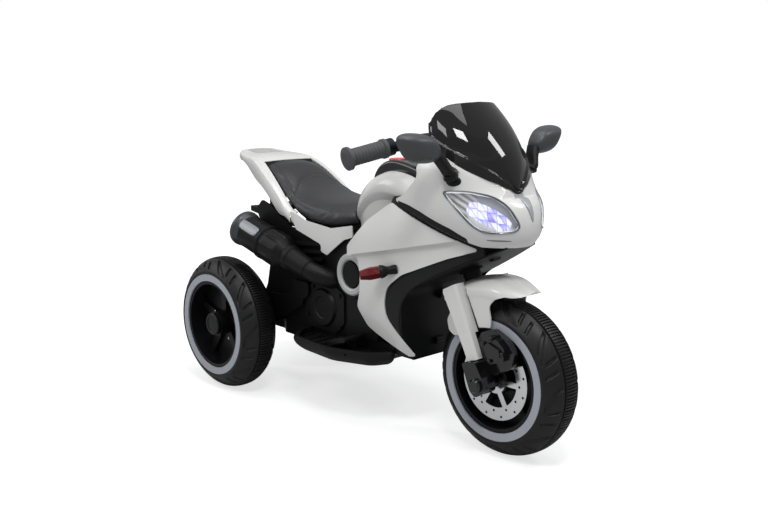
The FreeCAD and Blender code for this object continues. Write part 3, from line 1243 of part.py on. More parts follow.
def gearbox():
    """Right sealed reduction box on the axle with a collar towards the wheel."""
    outer = REAR_TRACK / 2 - HUB_LENGTH / 2 - 0.4
    plate_out = REAR_TRACK / 2 - TYRE_WIDTH / 2 - 4
    mx, mz = REAR.x + MOTOR_PLACE[0], REAR.z + MOTOR_PLACE[1]
    drum = rod_across(GEARBOX_RADIUS, REAR.x, REAR.z, -plate_out, -ENGINE_HALF - 8)
    drum_in = rod_across(12 - 0.3, REAR.x, REAR.z, -ENGINE_HALF - 8, -GEARBOX_IN)
    collar = rod_across(15, REAR.x, REAR.z, -outer, -plate_out)
    case = side_prism([(REAR.x - 26, REAR.z - 14), (mx + 8, mz - 20), (mx + 20, mz + 8), (mx - 4, mz + 22),
                       (REAR.x - 12, REAR.z + 24), (REAR.x - 26, REAR.z + 10)], [14, 12, 12, 12, 14, 14],
                      -ENGINE_HALF + 3.4, -GEARBOX_IN)
    body = fused(drum, [drum_in, collar, case])
    return body.cut(rod_across(AXLE_RADIUS + 0.1, REAR.x, REAR.z, -200, 0))


def drive_motor():
    """Right motor can against the gearbox, with its end boss."""
    x, z = REAR.x + MOTOR_PLACE[0], REAR.z + MOTOR_PLACE[1]
    can = rod_across(MOTOR_RADIUS, x, z, -56.5, -14)
    return fused(can, [rod_across(6, x, z, -14, -9)])


def rear_axle():
    """Steel rod through the cradle and both wheels, with a nut at each end."""
    end = REAR_TRACK / 2 + HUB_LENGTH / 2 + 0.5
    shaft = rod_across(AXLE_RADIUS, REAR.x, REAR.z, -end - 5, end + 5)
    nuts = [rod_across(10, REAR.x, REAR.z, s * end, s * (end + 5)) for s in (-1, 1)]
    return fused(shaft, nuts)


def front_axle():
    """Through bolt of the front wheel with a round cap outside each leg."""
    outer = LEG_Y + LUG_REACH
    shaft = rod_across(AXLE_RADIUS, FRONT.x, FRONT.z, -outer - 4, outer + 4)
    caps = [turned([(0, 0), (0, 12), (4, 12), (7, 9), (7, 0)], V(FRONT.x, s * outer, FRONT.z), V(0, s, 0))
            for s in (-1, 1)]
    return fused(shaft, caps)


def rear_subframe(cutters):
    """Black rails that stand in the tub and carry the tank, the seat pan and the tail."""
    floor = TRAY_BOTTOM + 3
    deck = FRONT.z + TANK_BOTTOM
    nose = FRONT.x - 205
    kick = REAR.x + 70
    stub = REAR.x - 38
    pieces = []
    for side in (-1, 1):
        near, far = sorted((side * 44, side * 56))
        pieces.append(side_prism([(nose, deck - 14), (nose, deck), (kick, deck), (stub, deck + 14),
                                  (stub, deck + 3), (kick, deck - 14)], [2, 2, 30, 2, 2, 30], near, far))
        for x in (FRONT.x - 262, REAR.x + 128):
            pieces.append(box((x, x + 14), (near, far), (floor, deck - 4)))
        for x, top in ((REAR.x + 150, 110), (REAR.x + 60, 160)):
            pieces.append(box((x, x + 12), (near, far), (deck - 6, deck + top)))
        pieces.append(box((REAR.x, REAR.x + 10), (0.6 * near, 0.6 * far), (deck + 4, FRONT.z + TAIL_ROOF)))
    for x in (FRONT.x - 300, FRONT.x - 215):
        pieces.append(box((x, x + 10), (-72, 72), (deck - 10, deck)))
    for x in (stub, REAR.x - 1):
        pieces.append(box((x, x + 12), (-50, 50), (deck + 3, deck + 13)))
    pieces.append(box((stub, REAR.x + 9), (-50, 50), (deck + 9, deck + 13)))
    return fused(pieces[0], pieces[1:]).cut(cutters)


def battery():
    """Sealed battery standing on the tub floor between the rails."""
    floor = TRAY_BOTTOM + 3
    body = box((REAR.x + 150, REAR.x + 290), (-35, 35), (floor, floor + 92))
    tabs = [box((REAR.x + x, REAR.x + x + 10), (-24, -14), (floor + 92, floor + 98)) for x in (165, 265)]
    return fused(body.makeFillet(3, body.Edges), tabs)


def control_box():
    """Drive controller on the tub floor."""
    floor = TRAY_BOTTOM + 3
    body = box((FRONT.x - 310, FRONT.x - 240), (-28, 28), (floor, floor + 26))
    return body.makeFillet(2.5, body.Edges)


def charge_socket():
    """Round socket through the left engine cover, bored for the charger plug."""
    x, z = FRONT.x + SOCKET_PLACE[0], FRONT.z + SOCKET_PLACE[1]
    body = turned([(-10, 0), (-10, SOCKET_RADIUS - 2), (0.2, SOCKET_RADIUS - 2), (0.2, SOCKET_RADIUS + 2),
                   (2.5, SOCKET_RADIUS), (2.5, 0)], V(x, ENGINE_HALF, z), Y_AXIS)
    return body.cut(rod_across(SOCKET_BORE, x, z, ENGINE_HALF - 8, ENGINE_HALF + 5))


def socket_hole():
    """Hole in the left engine cover for the charge socket."""
    return rod_across(SOCKET_RADIUS - 1.8, FRONT.x + SOCKET_PLACE[0], FRONT.z + SOCKET_PLACE[1], 60, 120)


def build():
    """Every node of the bike by name."""
    nodes = {}
    outer = cowl_body(0)
    layers = [cowl_body(WALL + 0.3), cowl_body(22.0), cowl_body(26.0)]
    nodes["nose_cowl"] = nose_cowl(outer, cowl_body(WALL))
    nodes["headlight_lenses"] = both_sides(headlight_lens(outer))
    nodes["headlight_bowls"] = both_sides(headlight_bowl(layers))
    lamps = headlight_leds(layers)
    nodes["headlight_leds"] = Part.makeCompound(lamps + [mirrored(lamp) for lamp in lamps])
    nodes["windscreen"] = windscreen()
    cover = engine_cover()
    shield = front_shield().cut(nodes["nose_cowl"])
    for name, right in (("side_fairing", side_fairing()), ("front_shield", shield),
                        ("seat_trim", seat_trim()), ("muffler", muffler(cover))):
        nodes[name + "_right"] = right
        nodes[name + "_left"] = mirrored(right)
    nodes["engine_cover_right"] = cover
    nodes["engine_cover_left"] = mirrored(cover).cut(socket_hole())
    nodes["engine_rings"] = both_sides(engine_ring())
    nodes["turn_signal_stalks"] = both_sides(signal_stalk())
    nodes["turn_signal_lenses"] = both_sides(signal_lens())

    tank_solid = tank_body(0, 0, TANK_BOTTOM)
    tank_room = tank_body(1.5, 0, TANK_BOTTOM - 40)
    stem_way = in_fork(rod(BUSH_RADIUS, V(0, 0, 180), V(0, 0, 460)))
    wells = [button_well(START_PLACE, START_RADIUS), button_well(HORN_PLACE, HORN_RADIUS)]
    nodes["tank_cover"] = tank_solid.cut([tank_body(-WALL, 10, TANK_BOTTOM - 10), stem_way] + wells)
    nodes["dash_panel"] = dash_panel(tank_solid)
    nodes["start_button"] = button(START_PLACE, START_RADIUS)
    nodes["horn_button"] = button(HORN_PLACE, HORN_RADIUS)
    nodes["direction_switch"] = rocker()
    nodes["seat_cushion"] = seat_cushion(tank_room)
    nodes["seat_pan"] = seat_pan(tank_room).cut(nodes["seat_cushion"])
    nodes["tail_cowl"] = tail_cowl()

    nodes["chassis_tray"] = chassis_tray()
    nodes["accelerator_pedal"] = accelerator_pedal()
    nodes["pedal_switch"] = pedal_switch()
    nodes["gearboxes"] = both_sides(gearbox())
    nodes["drive_motors"] = both_sides(drive_motor())
    nodes["rear_axle"] = rear_axle()
    nodes["battery"] = battery()
    nodes["control_box"] = control_box()
    nodes["charge_socket"] = charge_socket()
    nodes["rear_subframe"] = rear_subframe([seat_room(), tank_solid])
    bushes = [bush(CEILING, -1), bush(BUSH_SEAT - BUSH_LENGTH, 1)]
    nodes["steering_bushes"] = Part.makeCompound([in_fork(ring) for ring in bushes])

    nodes["steering_stem"] = in_fork(steering_stem())
    leg, sleeve = in_fork(fork_leg()), in_fork(fork_cover())
    nodes["fork_leg_right"], nodes["fork_leg_left"] = leg, mirrored(leg)
    nodes["fork_cover_right"], nodes["fork_cover_left"] = sleeve, mirrored(sleeve)
    nodes["front_fender"] = in_fork(front_fender())
    nodes["handlebar"] = handlebar()
    nodes["grips"] = both_sides(grip())
    nodes["front_axle"] = front_axle()

    wheel_tyre, wheel_rim = tyre(), rim(AXLE_RADIUS + FIT)
    nodes["front_tyre"] = wheel_tyre.translated(FRONT)
    nodes["front_rim"] = wheel_rim.translated(FRONT)
    nodes["front_bands"] = Part.makeCompound([band(s).translated(FRONT) for s in (-1, 1)])
    nodes["brake_discs"] = Part.makeCompound([brake_disc(s).translated(FRONT) for s in (-1, 1)])
    for name, side in (("right", -1), ("left", 1)):
        place = REAR + V(0, side * REAR_TRACK / 2, 0)
        nodes["rear_tyre_" + name] = wheel_tyre.translated(place)
        nodes["rear_rim_" + name] = wheel_rim.translated(place)
        nodes["rear_band_" + name] = band(side).translated(place)
        nodes["hub_cap_" + name] = hub_cap(side).translated(place)
    mirror = rear_mirror()
    nodes["mirror_right"], nodes["mirror_left"] = mirror, mirrored(mirror)
    return nodes


os.makedirs("parts", exist_ok=True)
for node, shape in build().items():
    shape.exportStep(os.path.join("parts", node + ".step"))
    print(node, len(shape.Solids), round(shape.Volume / 1000.0, 1), shape.isValid())
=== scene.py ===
# %% [markdown]
# # A child's electric motorbike
# The bike arrives as a packed set of solids for its moulded pieces, already in metres and already in
# place. This lesson dresses them: it smooths the moulded panels, makes the soft and finely shaped pieces
# from numpy grids, gives every surface a finish built from nodes, and sets up a plain studio.

# %% Load the frame
import bpy, json, math
import numpy as np
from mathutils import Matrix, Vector


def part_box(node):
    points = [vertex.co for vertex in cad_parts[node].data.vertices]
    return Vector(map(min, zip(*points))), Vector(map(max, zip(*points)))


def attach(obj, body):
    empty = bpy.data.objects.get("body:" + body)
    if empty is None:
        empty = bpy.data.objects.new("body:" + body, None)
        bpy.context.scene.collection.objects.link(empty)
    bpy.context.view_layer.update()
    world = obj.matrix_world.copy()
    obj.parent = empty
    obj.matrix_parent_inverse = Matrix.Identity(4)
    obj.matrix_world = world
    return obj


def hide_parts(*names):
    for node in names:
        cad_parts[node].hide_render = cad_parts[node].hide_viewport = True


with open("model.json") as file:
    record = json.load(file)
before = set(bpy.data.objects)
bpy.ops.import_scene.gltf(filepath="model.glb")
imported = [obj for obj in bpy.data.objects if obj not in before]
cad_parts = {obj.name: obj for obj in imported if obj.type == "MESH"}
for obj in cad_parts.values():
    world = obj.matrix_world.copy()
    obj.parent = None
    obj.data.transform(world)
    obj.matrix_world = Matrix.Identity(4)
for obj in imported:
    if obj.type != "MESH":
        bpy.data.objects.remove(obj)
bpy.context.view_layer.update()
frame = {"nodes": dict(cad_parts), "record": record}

NODES = frame["nodes"]
BODY_OF = {node: body for body, group in frame["record"]["behaviour"]["bodies"].items() for node in group}
MM = 0.001

# %% [markdown]
# ## Camera
# The camera looks at the right side from ahead and a little above. It has no shift and no depth of field,
# so the same camera serves every other view.

# %% Camera
CAMERA_PLACE, CAMERA_TARGET = (1.2964, -1.1902, 0.6374), (0.0045, 0.0, 0.2975)
SENSOR_MM, LENS_MM = 36.0, 44.28
scene = bpy.context.scene


def stand_at(name, data, place, target):
    """Camera or lamp at a place, turned so that it looks along the line to the target."""
    made = bpy.data.objects.new(name, data)
    made.location = place
    made.rotation_euler = (Vector(target) - made.location).to_track_quat("-Z", "Y").to_euler()
    scene.collection.objects.link(made)
    return made


camera_data = bpy.data.cameras.new("studio_camera")
camera_data.sensor_width = SENSOR_MM
camera_data.lens = LENS_MM
scene.camera = stand_at("studio_camera", camera_data, CAMERA_PLACE, CAMERA_TARGET)
print("camera distance", round(math.dist(CAMERA_PLACE, CAMERA_TARGET), 3))

# %% [markdown]
# ## Studio
# A pale floor, a world that is plain white where the camera sees it, and a few soft lamps. The white
# comes from what the camera ray meets, not from more light, so the pale panels keep their shading. The
# floor's glow grows with the distance from the bike, so that the far floor runs into the white world.

# %% Node helpers
def node_in(tree, kind, **values):
    """Add one shader node and set its sockets by name, with _ for a space, or else its own settings."""
    made = tree.nodes.new(kind)
    for key, value in values.items():
        socket = key.replace("_", " ")
        if socket in made.inputs:
            made.inputs[socket].default_value = value
        else:
            setattr(made, key, value)
    return made


def wire(tree, *pairs):
    """Join sockets: each pair is an output and the input that it feeds."""
    for source, target in pairs:
        tree.links.new(source, target)


def fresh_tree(owner):
    """Emptied node tree of a world or a material."""
    owner.use_nodes = True
    owner.node_tree.nodes.clear()
    return owner.node_tree


print("node helpers ready")

# %% Background mask
def background_mask(tree, glossy_share):
    """Light Path mask: 1 for rays from the camera or through glass, a share of 1 for mirror rays."""
    path = node_in(tree, "ShaderNodeLightPath")
    share = node_in(tree, "ShaderNodeMath", operation="MULTIPLY")
    share.inputs[1].default_value = glossy_share
    first = node_in(tree, "ShaderNodeMath", operation="MAXIMUM")
    last = node_in(tree, "ShaderNodeMath", operation="MAXIMUM")
    wire(tree, (path.outputs["Is Glossy Ray"], share.inputs[0]),
         (path.outputs["Is Camera Ray"], first.inputs[0]),
         (path.outputs["Is Transmission Ray"], first.inputs[1]),
         (first.outputs[0], last.inputs[0]), (share.outputs[0], last.inputs[1]))
    return last.outputs[0]


def show_by_mask(tree, mask, lit, seen, out_kind):
    """Output that takes one shader where the mask is 0 and the other where it is 1."""
    blend = node_in(tree, "ShaderNodeMixShader")
    out = node_in(tree, out_kind)
    wire(tree, (mask, blend.inputs[0]), (lit.outputs[0], blend.inputs[1]),
         (seen.outputs[0], blend.inputs[2]), (blend.outputs[0], out.inputs[0]))


print("mask helpers ready")

# %% World
WHITE = (1, 1, 1, 1)
SKY, SKY_STRENGTH = (0.95, 0.97, 1.0, 1), 0.33
MIRRORED_WHITE = 0.16
world = bpy.data.worlds.new("studio_world")
scene.world = world
tree = fresh_tree(world)
seen = node_in(tree, "ShaderNodeBackground", Color=WHITE, Strength=1.0)
soft = node_in(tree, "ShaderNodeBackground", Color=SKY, Strength=SKY_STRENGTH)
show_by_mask(tree, background_mask(tree, MIRRORED_WHITE), soft, seen, "ShaderNodeOutputWorld")
scene.view_settings.view_transform = "Standard"
print("world strength", SKY_STRENGTH)

# %% Floor
FLOOR_HALF = 30
FLOOR_PAINT = (0.56, 0.56, 0.56, 1)
FADE_START, FADE_END = 0.5, 1.9
GLOW_NEAR, GLOW_FAR = 0.68, 0.94
floor_mesh = bpy.data.meshes.new("floor")
corners = [(x * FLOOR_HALF, y * FLOOR_HALF, 0) for x, y in ((-1, -1), (1, -1), (1, 1), (-1, 1))]
floor_mesh.from_pydata(corners, [], [(0, 1, 2, 3)])
floor = bpy.data.objects.new("floor", floor_mesh)
scene.collection.objects.link(floor)
floor_finish = bpy.data.materials.new("pale_floor")
tree = fresh_tree(floor_finish)
paint = node_in(tree, "ShaderNodeBsdfDiffuse", Color=FLOOR_PAINT)
glow = node_in(tree, "ShaderNodeEmission", Color=WHITE)
spot = node_in(tree, "ShaderNodeTexCoord")
reach = node_in(tree, "ShaderNodeVectorMath", operation="LENGTH")
fade = node_in(tree, "ShaderNodeMapRange", interpolation_type="SMOOTHSTEP", From_Min=FADE_START,
               From_Max=FADE_END, To_Min=GLOW_NEAR, To_Max=GLOW_FAR)
both = node_in(tree, "ShaderNodeAddShader")
wire(tree, (spot.outputs["Object"], reach.inputs[0]), (reach.outputs["Value"], fade.inputs["Value"]),
     (fade.outputs["Result"], glow.inputs["Strength"]), (paint.outputs[0], both.inputs[0]),
     (glow.outputs[0], both.inputs[1]))
show_by_mask(tree, background_mask(tree, 0.0), paint, both, "ShaderNodeOutputMaterial")
floor_mesh.materials.append(floor_finish)
print("floor glow from", GLOW_NEAR, "to", GLOW_FAR)

# %% Lamps
# Each lamp: its place, its width and height in metres and its power in watts.
MIDDLE = (0.0, 0.0, 0.3)
LAMPS = {"key": ((1.09, -0.77, 2.09), (0.56, 0.32), 13),
         "side": ((0.1, -1.5, 1.8), (0.7, 0.4), 6),
         "front": ((1.25, 1.03, 1.78), (0.3, 0.56), 7.5),
         "overhead": ((0.1, -0.1, 2.3), (1.6, 1.0), 15),
         "rear_fill": ((-1.4, -1.0, 1.4), (0.8, 0.8), 5)}
for name, (place, size, power) in LAMPS.items():
    data = bpy.data.lights.new(name, "AREA")
    data.shape = "RECTANGLE"
    data.size, data.size_y = size
    data.energy = power
    stand_at(name, data, place, MIDDLE)
print("lamps:", list(LAMPS))

# %% [markdown]
# ## Finishes
# Nearly everything is moulded plastic. A finish starts from one shader and adds what plastic really shows:
# a faint drift of colour, a grain whose height is a noise of some hundredths of a millimetre, and a
# roughness that wanders with the slow noise. Object coordinates are metres here, so a noise scale of 900
# gives cells of about a millimetre.

# %% Plastic finish helpers
SLOW_SCALE, GRAIN_STRENGTH = 9.0, 0.6


def finish(name, **sockets):
    """Material with one shader, whose sockets are given, its output and Object coordinates."""
    made = bpy.data.materials.new(name)
    tree = fresh_tree(made)
    out = node_in(tree, "ShaderNodeOutputMaterial")
    shader = node_in(tree, "ShaderNodeBsdfPrincipled", **sockets)
    wire(tree, (shader.outputs[0], out.inputs[0]))
    return made, tree, shader, node_in(tree, "ShaderNodeTexCoord").outputs["Object"]


def noise_value(tree, where, scale, detail):
    """Noise of a scale and a detail at the given coordinates."""
    noise = node_in(tree, "ShaderNodeTexNoise", Scale=scale, Detail=detail)
    wire(tree, (where, noise.inputs["Vector"]))
    return noise.outputs["Fac"]


def wandering_gloss(tree, shader, noise, low, high):
    """Roughness that follows a noise from a low to a high value."""
    spread = node_in(tree, "ShaderNodeMapRange", To_Min=low, To_Max=high)
    wire(tree, (noise, spread.inputs["Value"]), (spread.outputs["Result"], shader.inputs["Roughness"]))


def moulded(name, colour, rough, drift=0.06, grain=900.0, depth=0.00004, rough_drift=0.06, **sockets):
    """Moulded plastic: colour times (1 - drift + 2 drift noise), roughness moved by the same slow noise, and
    a bump whose height is a fine noise."""
    made, tree, shader, where = finish(name, **sockets)
    slow = noise_value(tree, where, SLOW_SCALE, 3.0)
    fine = noise_value(tree, where, grain, 2.0)
    ramp = node_in(tree, "ShaderNodeMix", data_type="RGBA")
    ramp.inputs[6].default_value = (*[c * (1 - drift) for c in colour], 1)
    ramp.inputs[7].default_value = (*[min(1.0, c * (1 + drift)) for c in colour], 1)
    bump = node_in(tree, "ShaderNodeBump", Strength=GRAIN_STRENGTH, Distance=depth)
    wire(tree, (slow, ramp.inputs[0]), (ramp.outputs[2], shader.inputs["Base Color"]),
         (fine, bump.inputs["Height"]), (bump.outputs["Normal"], shader.inputs["Normal"]))
    wandering_gloss(tree, shader, slow, max(0.01, rough - rough_drift), rough + rough_drift)
    return made


print("plastic helpers ready")

# %% Plastics
# Each finish: name, colour, roughness, drift of the colour, scale and depth of the grain, drift of the gloss.
GLOSS_WHITE = moulded("gloss_white", (0.80, 0.80, 0.778), 0.2, 0.015, 260.0, 0.00001, 0.04, Coat_Weight=0.35)
SATIN_BLACK = moulded("satin_black", (0.005, 0.005, 0.0055), 0.44, 0.2, 1400.0, 0.00006,
                      Specular_IOR_Level=0.24)
GLOSS_BLACK = moulded("gloss_black", (0.006, 0.006, 0.007), 0.16, 0.2, 700.0, 0.00001, 0.05, Coat_Weight=0.3)
# Dark grey that paints the light caught by the black shield's side-facing band, not a colour of its own.
PAINTED_SIDE_LIGHT = moulded("painted_side_light", (0.012, 0.0122, 0.013), 0.52, 0.1, 1700.0, 0.00006, Specular_IOR_Level=0.25)
DEEP_BLACK = moulded("deep_black", (0.004, 0.004, 0.005), 0.4, 0.2, 1200.0, 0.00005, Specular_IOR_Level=0.3)
TYRE_BLACK = moulded("tyre_black", (0.007, 0.007, 0.0078), 0.42, 0.25, 700.0, 0.00007,
                     Specular_IOR_Level=0.36)
PALE_GREY = moulded("pale_grey", (0.43, 0.45, 0.5), 0.42, 0.05, 900.0, 0.00003)
RING_GREY = moulded("ring_grey", (0.52, 0.52, 0.52), 0.4, 0.05, 900.0, 0.00003)
GRIP_RUBBER = moulded("grip_rubber", (0.075, 0.075, 0.079), 0.66, 0.15, 900.0, 0.00008)
MIRROR_GREY = moulded("mirror_grey", (0.058, 0.062, 0.068), 0.42, 0.12, 1500.0, 0.00005)
BUTTON_RED = moulded("button_red", (0.62, 0.01, 0.012), 0.22, 0.05, 500.0, 0.00001, Coat_Weight=0.4)
SIGNAL_RED = moulded("signal_red", (0.13, 0.0008, 0.0022), 0.3, 0.6, 160.0, 0.0007, 0.08,
                     Specular_IOR_Level=0.12)
print("plastics:", len(bpy.data.materials))

# %% [markdown]
# ## Metal and clear plastic
# The brake discs and lamp bowls are bright chrome, and the rear axle and motors are plated steel. The screen
# is a smoked plastic that lets a little light through, and the headlamp lens is clear. Their colour is even,
# so only the roughness wanders with a noise, as polishing marks and faint scratches make it do.

# %% Metal and clear finishes
PLASTIC_IOR, GLOSS_HIGH = 1.49, 1.5


def plated(name, colour, rough, streak=400.0):
    """Bright metal: roughness goes with a noise from 0.6 to 1.5 times its value."""
    made, tree, shader, where = finish(name, Base_Color=(*colour, 1), Metallic=1.0)
    wandering_gloss(tree, shader, noise_value(tree, where, streak, 2.0), rough * 0.6, rough * GLOSS_HIGH)
    return made


def clear_plastic(name, colour, rough, passes, scratch=300.0):
    """Clear or smoked plastic: a share of the light passes, and roughness goes from half to 1.5 times its
    value with a noise."""
    made, tree, shader, where = finish(name, Base_Color=(*colour, 1), Transmission_Weight=passes,
                                       IOR=PLASTIC_IOR)
    wandering_gloss(tree, shader, noise_value(tree, where, scratch, 3.0), rough * 0.5, rough * GLOSS_HIGH)
    return made


CHROME = plated("chrome", (0.78, 0.79, 0.81), 0.14)
STEEL = plated("zinc_steel", (0.5, 0.51, 0.53), 0.3)
SMOKED = clear_plastic("smoked_screen", (0.010, 0.0088, 0.0085), 0.03, 0.6)
CLEAR = clear_plastic("clear_lens", (0.96, 0.97, 0.99), 0.03, 1.0)
print("finishes:", len(bpy.data.materials))

# %% [markdown]
# ## Smoothing the moulded panels
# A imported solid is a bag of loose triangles. Joining the corners that share a place and marking only the
# real edges as sharp lets the curved panels shade smoothly. The joined copy then stands for the solid.

# %% Mesh helpers
EDGE_ANGLE = 32.0
JOINS_PER_METRE = 1e5


def read_threes(items, key):
    """Three numbers for each item of a mesh's list, as an array."""
    flat = np.empty(len(items) * 3, np.float32)
    items.foreach_get(key, flat)
    return flat.reshape(-1, 3)


def joined(node):
    """Corner places and triangles of a solid, with corners closer than 0.01 mm made one."""
    mesh = NODES[node].data
    places = read_threes(mesh.vertices, "co")
    mesh.calc_loop_triangles()
    corners = np.empty(len(mesh.loop_triangles) * 3, np.int32)
    mesh.loop_triangles.foreach_get("vertices", corners)
    keys = np.round(places * JOINS_PER_METRE).astype(np.int64)
    _, first, back = np.unique(keys, axis=0, return_index=True, return_inverse=True)
    triangles = back.reshape(-1)[corners].reshape(-1, 3)
    whole = (triangles != np.roll(triangles, 1, axis=1)).all(1)
    return places[first], triangles[whole]


def piece_from(name, places, faces, material, body, angle=EDGE_ANGLE):
    """New mesh piece from corner places and faces, shaded smooth up to an angle, riding on a body."""
    mesh = bpy.data.meshes.new(name)
    mesh.from_pydata(np.asarray(places).tolist(), [], np.asarray(faces).tolist())
    mesh.update()
    mesh.shade_smooth()
    mesh.set_sharp_from_angle(angle=math.radians(angle))
    mesh.materials.append(material)
    made = bpy.data.objects.new(name, mesh)
    scene.collection.objects.link(made)
    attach(made, body)
    return made


def smoothed(node, material):
    """Joined copy of a solid that stands for it."""
    places, triangles = joined(node)
    made = piece_from(node + "_skin", places, triangles, material, BODY_OF[node])
    keep = made.modifiers.new("even_normals", "WEIGHTED_NORMAL")
    keep.keep_sharp = True
    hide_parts(node)


print("mesh helpers ready")

# %% Smoothed copies
def pair(name):
    """Names of the right and the left one of two pieces."""
    return [name + "_right", name + "_left"]


FINISH_OF = [
    (GLOSS_WHITE, ["nose_cowl", *pair("side_fairing"), *pair("seat_trim"), "tail_cowl", *pair("fork_cover"),
                   "tank_cover"]),
    (SATIN_BLACK, [*pair("front_shield"), *pair("engine_cover"), "handlebar", "steering_stem",
                   "turn_signal_stalks", "chassis_tray", "accelerator_pedal", "seat_pan", "rear_subframe",
                   "charge_socket", "pedal_switch", "horn_button", "direction_switch", "gearboxes",
                   "control_box", "battery", "steering_bushes"]),
    (GLOSS_BLACK, ["dash_panel", *pair("fork_leg"), "front_axle"]),
    (DEEP_BLACK, ["front_rim", *pair("rear_rim"), *pair("hub_cap")]),
    (PALE_GREY, ["front_bands", *pair("rear_band")]),
    (RING_GREY, ["engine_rings"]),
    (GRIP_RUBBER, ["grips"]),
    (STEEL, ["rear_axle", "drive_motors"]),
    (CHROME, ["brake_discs", "headlight_bowls"]),
    (CLEAR, ["headlight_lenses"]),
    (SIGNAL_RED, ["turn_signal_lenses"]),
]
for material, nodes in FINISH_OF:
    for node in nodes:
        smoothed(node, material)
    print(material.name, len(nodes))

# %% [markdown]
# ## Surfaces from grids
# The pieces that the solids only sketch are drawn again as grids: one parameter runs along the piece, the
# other across it, and every point is worked out at once with numpy. Rows may close on themselves, as they
# do round a tyre.

# %% Grid helpers
def xyz(x, y, z):
    """Points from three arrays, each stretched to their common shape."""
    return np.stack(np.broadcast_arrays(x, y, z), axis=-1)


def unit(vectors):
    """Vectors divided by their lengths."""
    return vectors / np.linalg.norm(vectors, axis=-1, keepdims=True)


def circle(count):
    """Row of even angles over one full turn."""
    return np.linspace(0, 2 * np.pi, count, endpoint=False)[None, :]


def grid_faces(rows, cols, close_rows=False, close_cols=False):
    """Four-cornered faces of a grid: each joins a point to its neighbours along the row and the column."""
    i = np.arange(rows if close_rows else rows - 1)[:, None]
    j = np.arange(cols if close_cols else cols - 1)[None, :]
    below, beside = (i + 1) % rows, (j + 1) % cols
    return np.stack([i * cols + j, below * cols + j, below * cols + beside, i * cols + beside],
                    axis=-1).reshape(-1, 4)


def sheet_piece(name, points, material, body, flip=False, wall=0.0, angle=40.0, **closed):
    """Piece from a (rows, columns, 3) grid that may close on itself, given a wall thickness inward where one
    is asked for."""
    faces = grid_faces(*points.shape[:2], **closed)
    if flip:
        faces = faces[:, ::-1]
    made = piece_from(name, points.reshape(-1, 3), faces, material, body, angle)
    if wall:
        thick = made.modifiers.new("wall", "SOLIDIFY")
        thick.thickness = wall
        thick.offset = -1.0
    return made


def mirrored_pair(name, points, material, bodies=("chassis", "chassis"), flip=False, **options):
    """Right piece from a grid and the left one from its mirror image, with the faces turned back outwards."""
    right, left = pair(name)
    return (sheet_piece(right, points, material, bodies[0], flip, **options),
            sheet_piece(left, points * [1, -1, 1], material, bodies[1], not flip, **options))


def say_box(name, points):
    """Print the lowest and the highest corner of a grid of points."""
    flat = points.reshape(-1, 3)
    print(name, flat.min(0).round(4), flat.max(0).round(4))


print("grid helpers ready")

# %% Curve and ray helpers
PARALLEL, EDGE_SLACK = 1e-14, 1e-6


def curve_through(points, count):
    """Smooth curve through points: between two of them it is the cubic whose slope at each end is half the
    step from the point before to the point after."""
    p = np.asarray(points, float)
    p = np.vstack([2 * p[0] - p[1], p, 2 * p[-1] - p[-2]])
    s = np.linspace(0, len(points) - 1, count)
    k = np.minimum(s.astype(int), len(points) - 2)
    t = (s - k)[:, None]
    a, b, c, d = p[k], p[k + 1], p[k + 2], p[k + 3]
    square, cube = 2 * a - 5 * b + 4 * c - d, 3 * b - a - 3 * c + d
    return 0.5 * (2 * b + (c - a) * t + square * t ** 2 + cube * t ** 3)


def drop_onto(node, starts, direction):
    """Distance from each start, along one direction, to the first triangle of a solid: the distance and the
    two weights inside each triangle are solved for all starts and triangles at once."""
    places, triangles = joined(node)
    a, b, c = (places[triangles[:, k]].astype(float) for k in range(3))
    e1, e2 = b - a, c - a
    d = np.asarray(direction, float)
    p = np.cross(d, e2)
    det = (e1 * p).sum(1)
    usable = abs(det) > PARALLEL
    inverse = np.where(usable, 1 / np.where(usable, det, 1), 0)
    s = starts.reshape(-1, 1, 3) - a
    u = (s * p).sum(2) * inverse
    q = np.cross(s, e1)
    v = (q * d).sum(2) * inverse
    t = (q * e2).sum(2) * inverse
    hit = usable & (u > -EDGE_SLACK) & (v > -EDGE_SLACK) & (u + v < 1 + EDGE_SLACK) & (t > 0)
    return np.where(hit, t, np.inf).min(1).reshape(starts.shape[:-1])


def laid_on(node, starts, direction, lift, limit=np.inf):
    """Places where rays meet a solid, drawn back by the lift. A ray that slips past the solid's edge and goes
    beyond the limit takes the median distance of its row."""
    fall = drop_onto(node, starts, direction)
    if not (fall < limit).all():
        fall = np.where(fall < limit, fall, np.nan)
        fall = np.where(np.isnan(fall), np.nanmedian(fall, axis=1)[:, None], fall)
    return starts + (fall - lift)[..., None] * np.asarray(direction, float)


print("curve and ray helpers ready")

# %% [markdown]
# ## Tyres
# The toy's tyres are moulded in hard plastic. A band of fine cross ribs runs round the middle between two
# grooves. Each shoulder repeats a group of three cuts: one long swoosh and two shorter bars beside it. The
# cuts could be carved with a boolean, but a radius worked out for every angle and every place across the
# tread is quicker and stays clean: a rounded crown, less the depth of whatever groove lies there.

# %% Tread
TYRE_R, TYRE_HALF = 0.13498, 0.041
CROWN_DROP, CROWN_POWER = 0.027, 2.6
RIBS, RIB_DEPTH, RIB_SHARE, RIB_REACH = 156, 0.0026, 0.6, 0.0125
RING_PLACE, RING_HALF, RING_SOFT, RING_DEPTH = 0.0146, 0.0014, 0.0008, 0.0034
GROUPS, CUT_DEPTH, CUT_SOFT, END_SOFT = 9, 0.0050, 1.4, 0.12
SHOULDER_START, SHOULDER_WIDE = 17.0, 21.0
# Each cut: start along the group, sweep, curl, first and last place across the shoulder, width in mm.
CUTS = [(6.0, 20.0, 22.0, 0.06, 0.98, 6.4), (50.0, 9.0, 4.0, 0.12, 0.80, 5.4),
        (72.0, 9.0, 4.0, 0.26, 0.94, 5.4)]


def step_down(value, edge, soft):
    """1 below the edge, 0 above it, with a smooth change over the softness."""
    t = np.clip((edge - value) / soft + 0.5, 0, 1)
    return t * t * (3 - 2 * t)


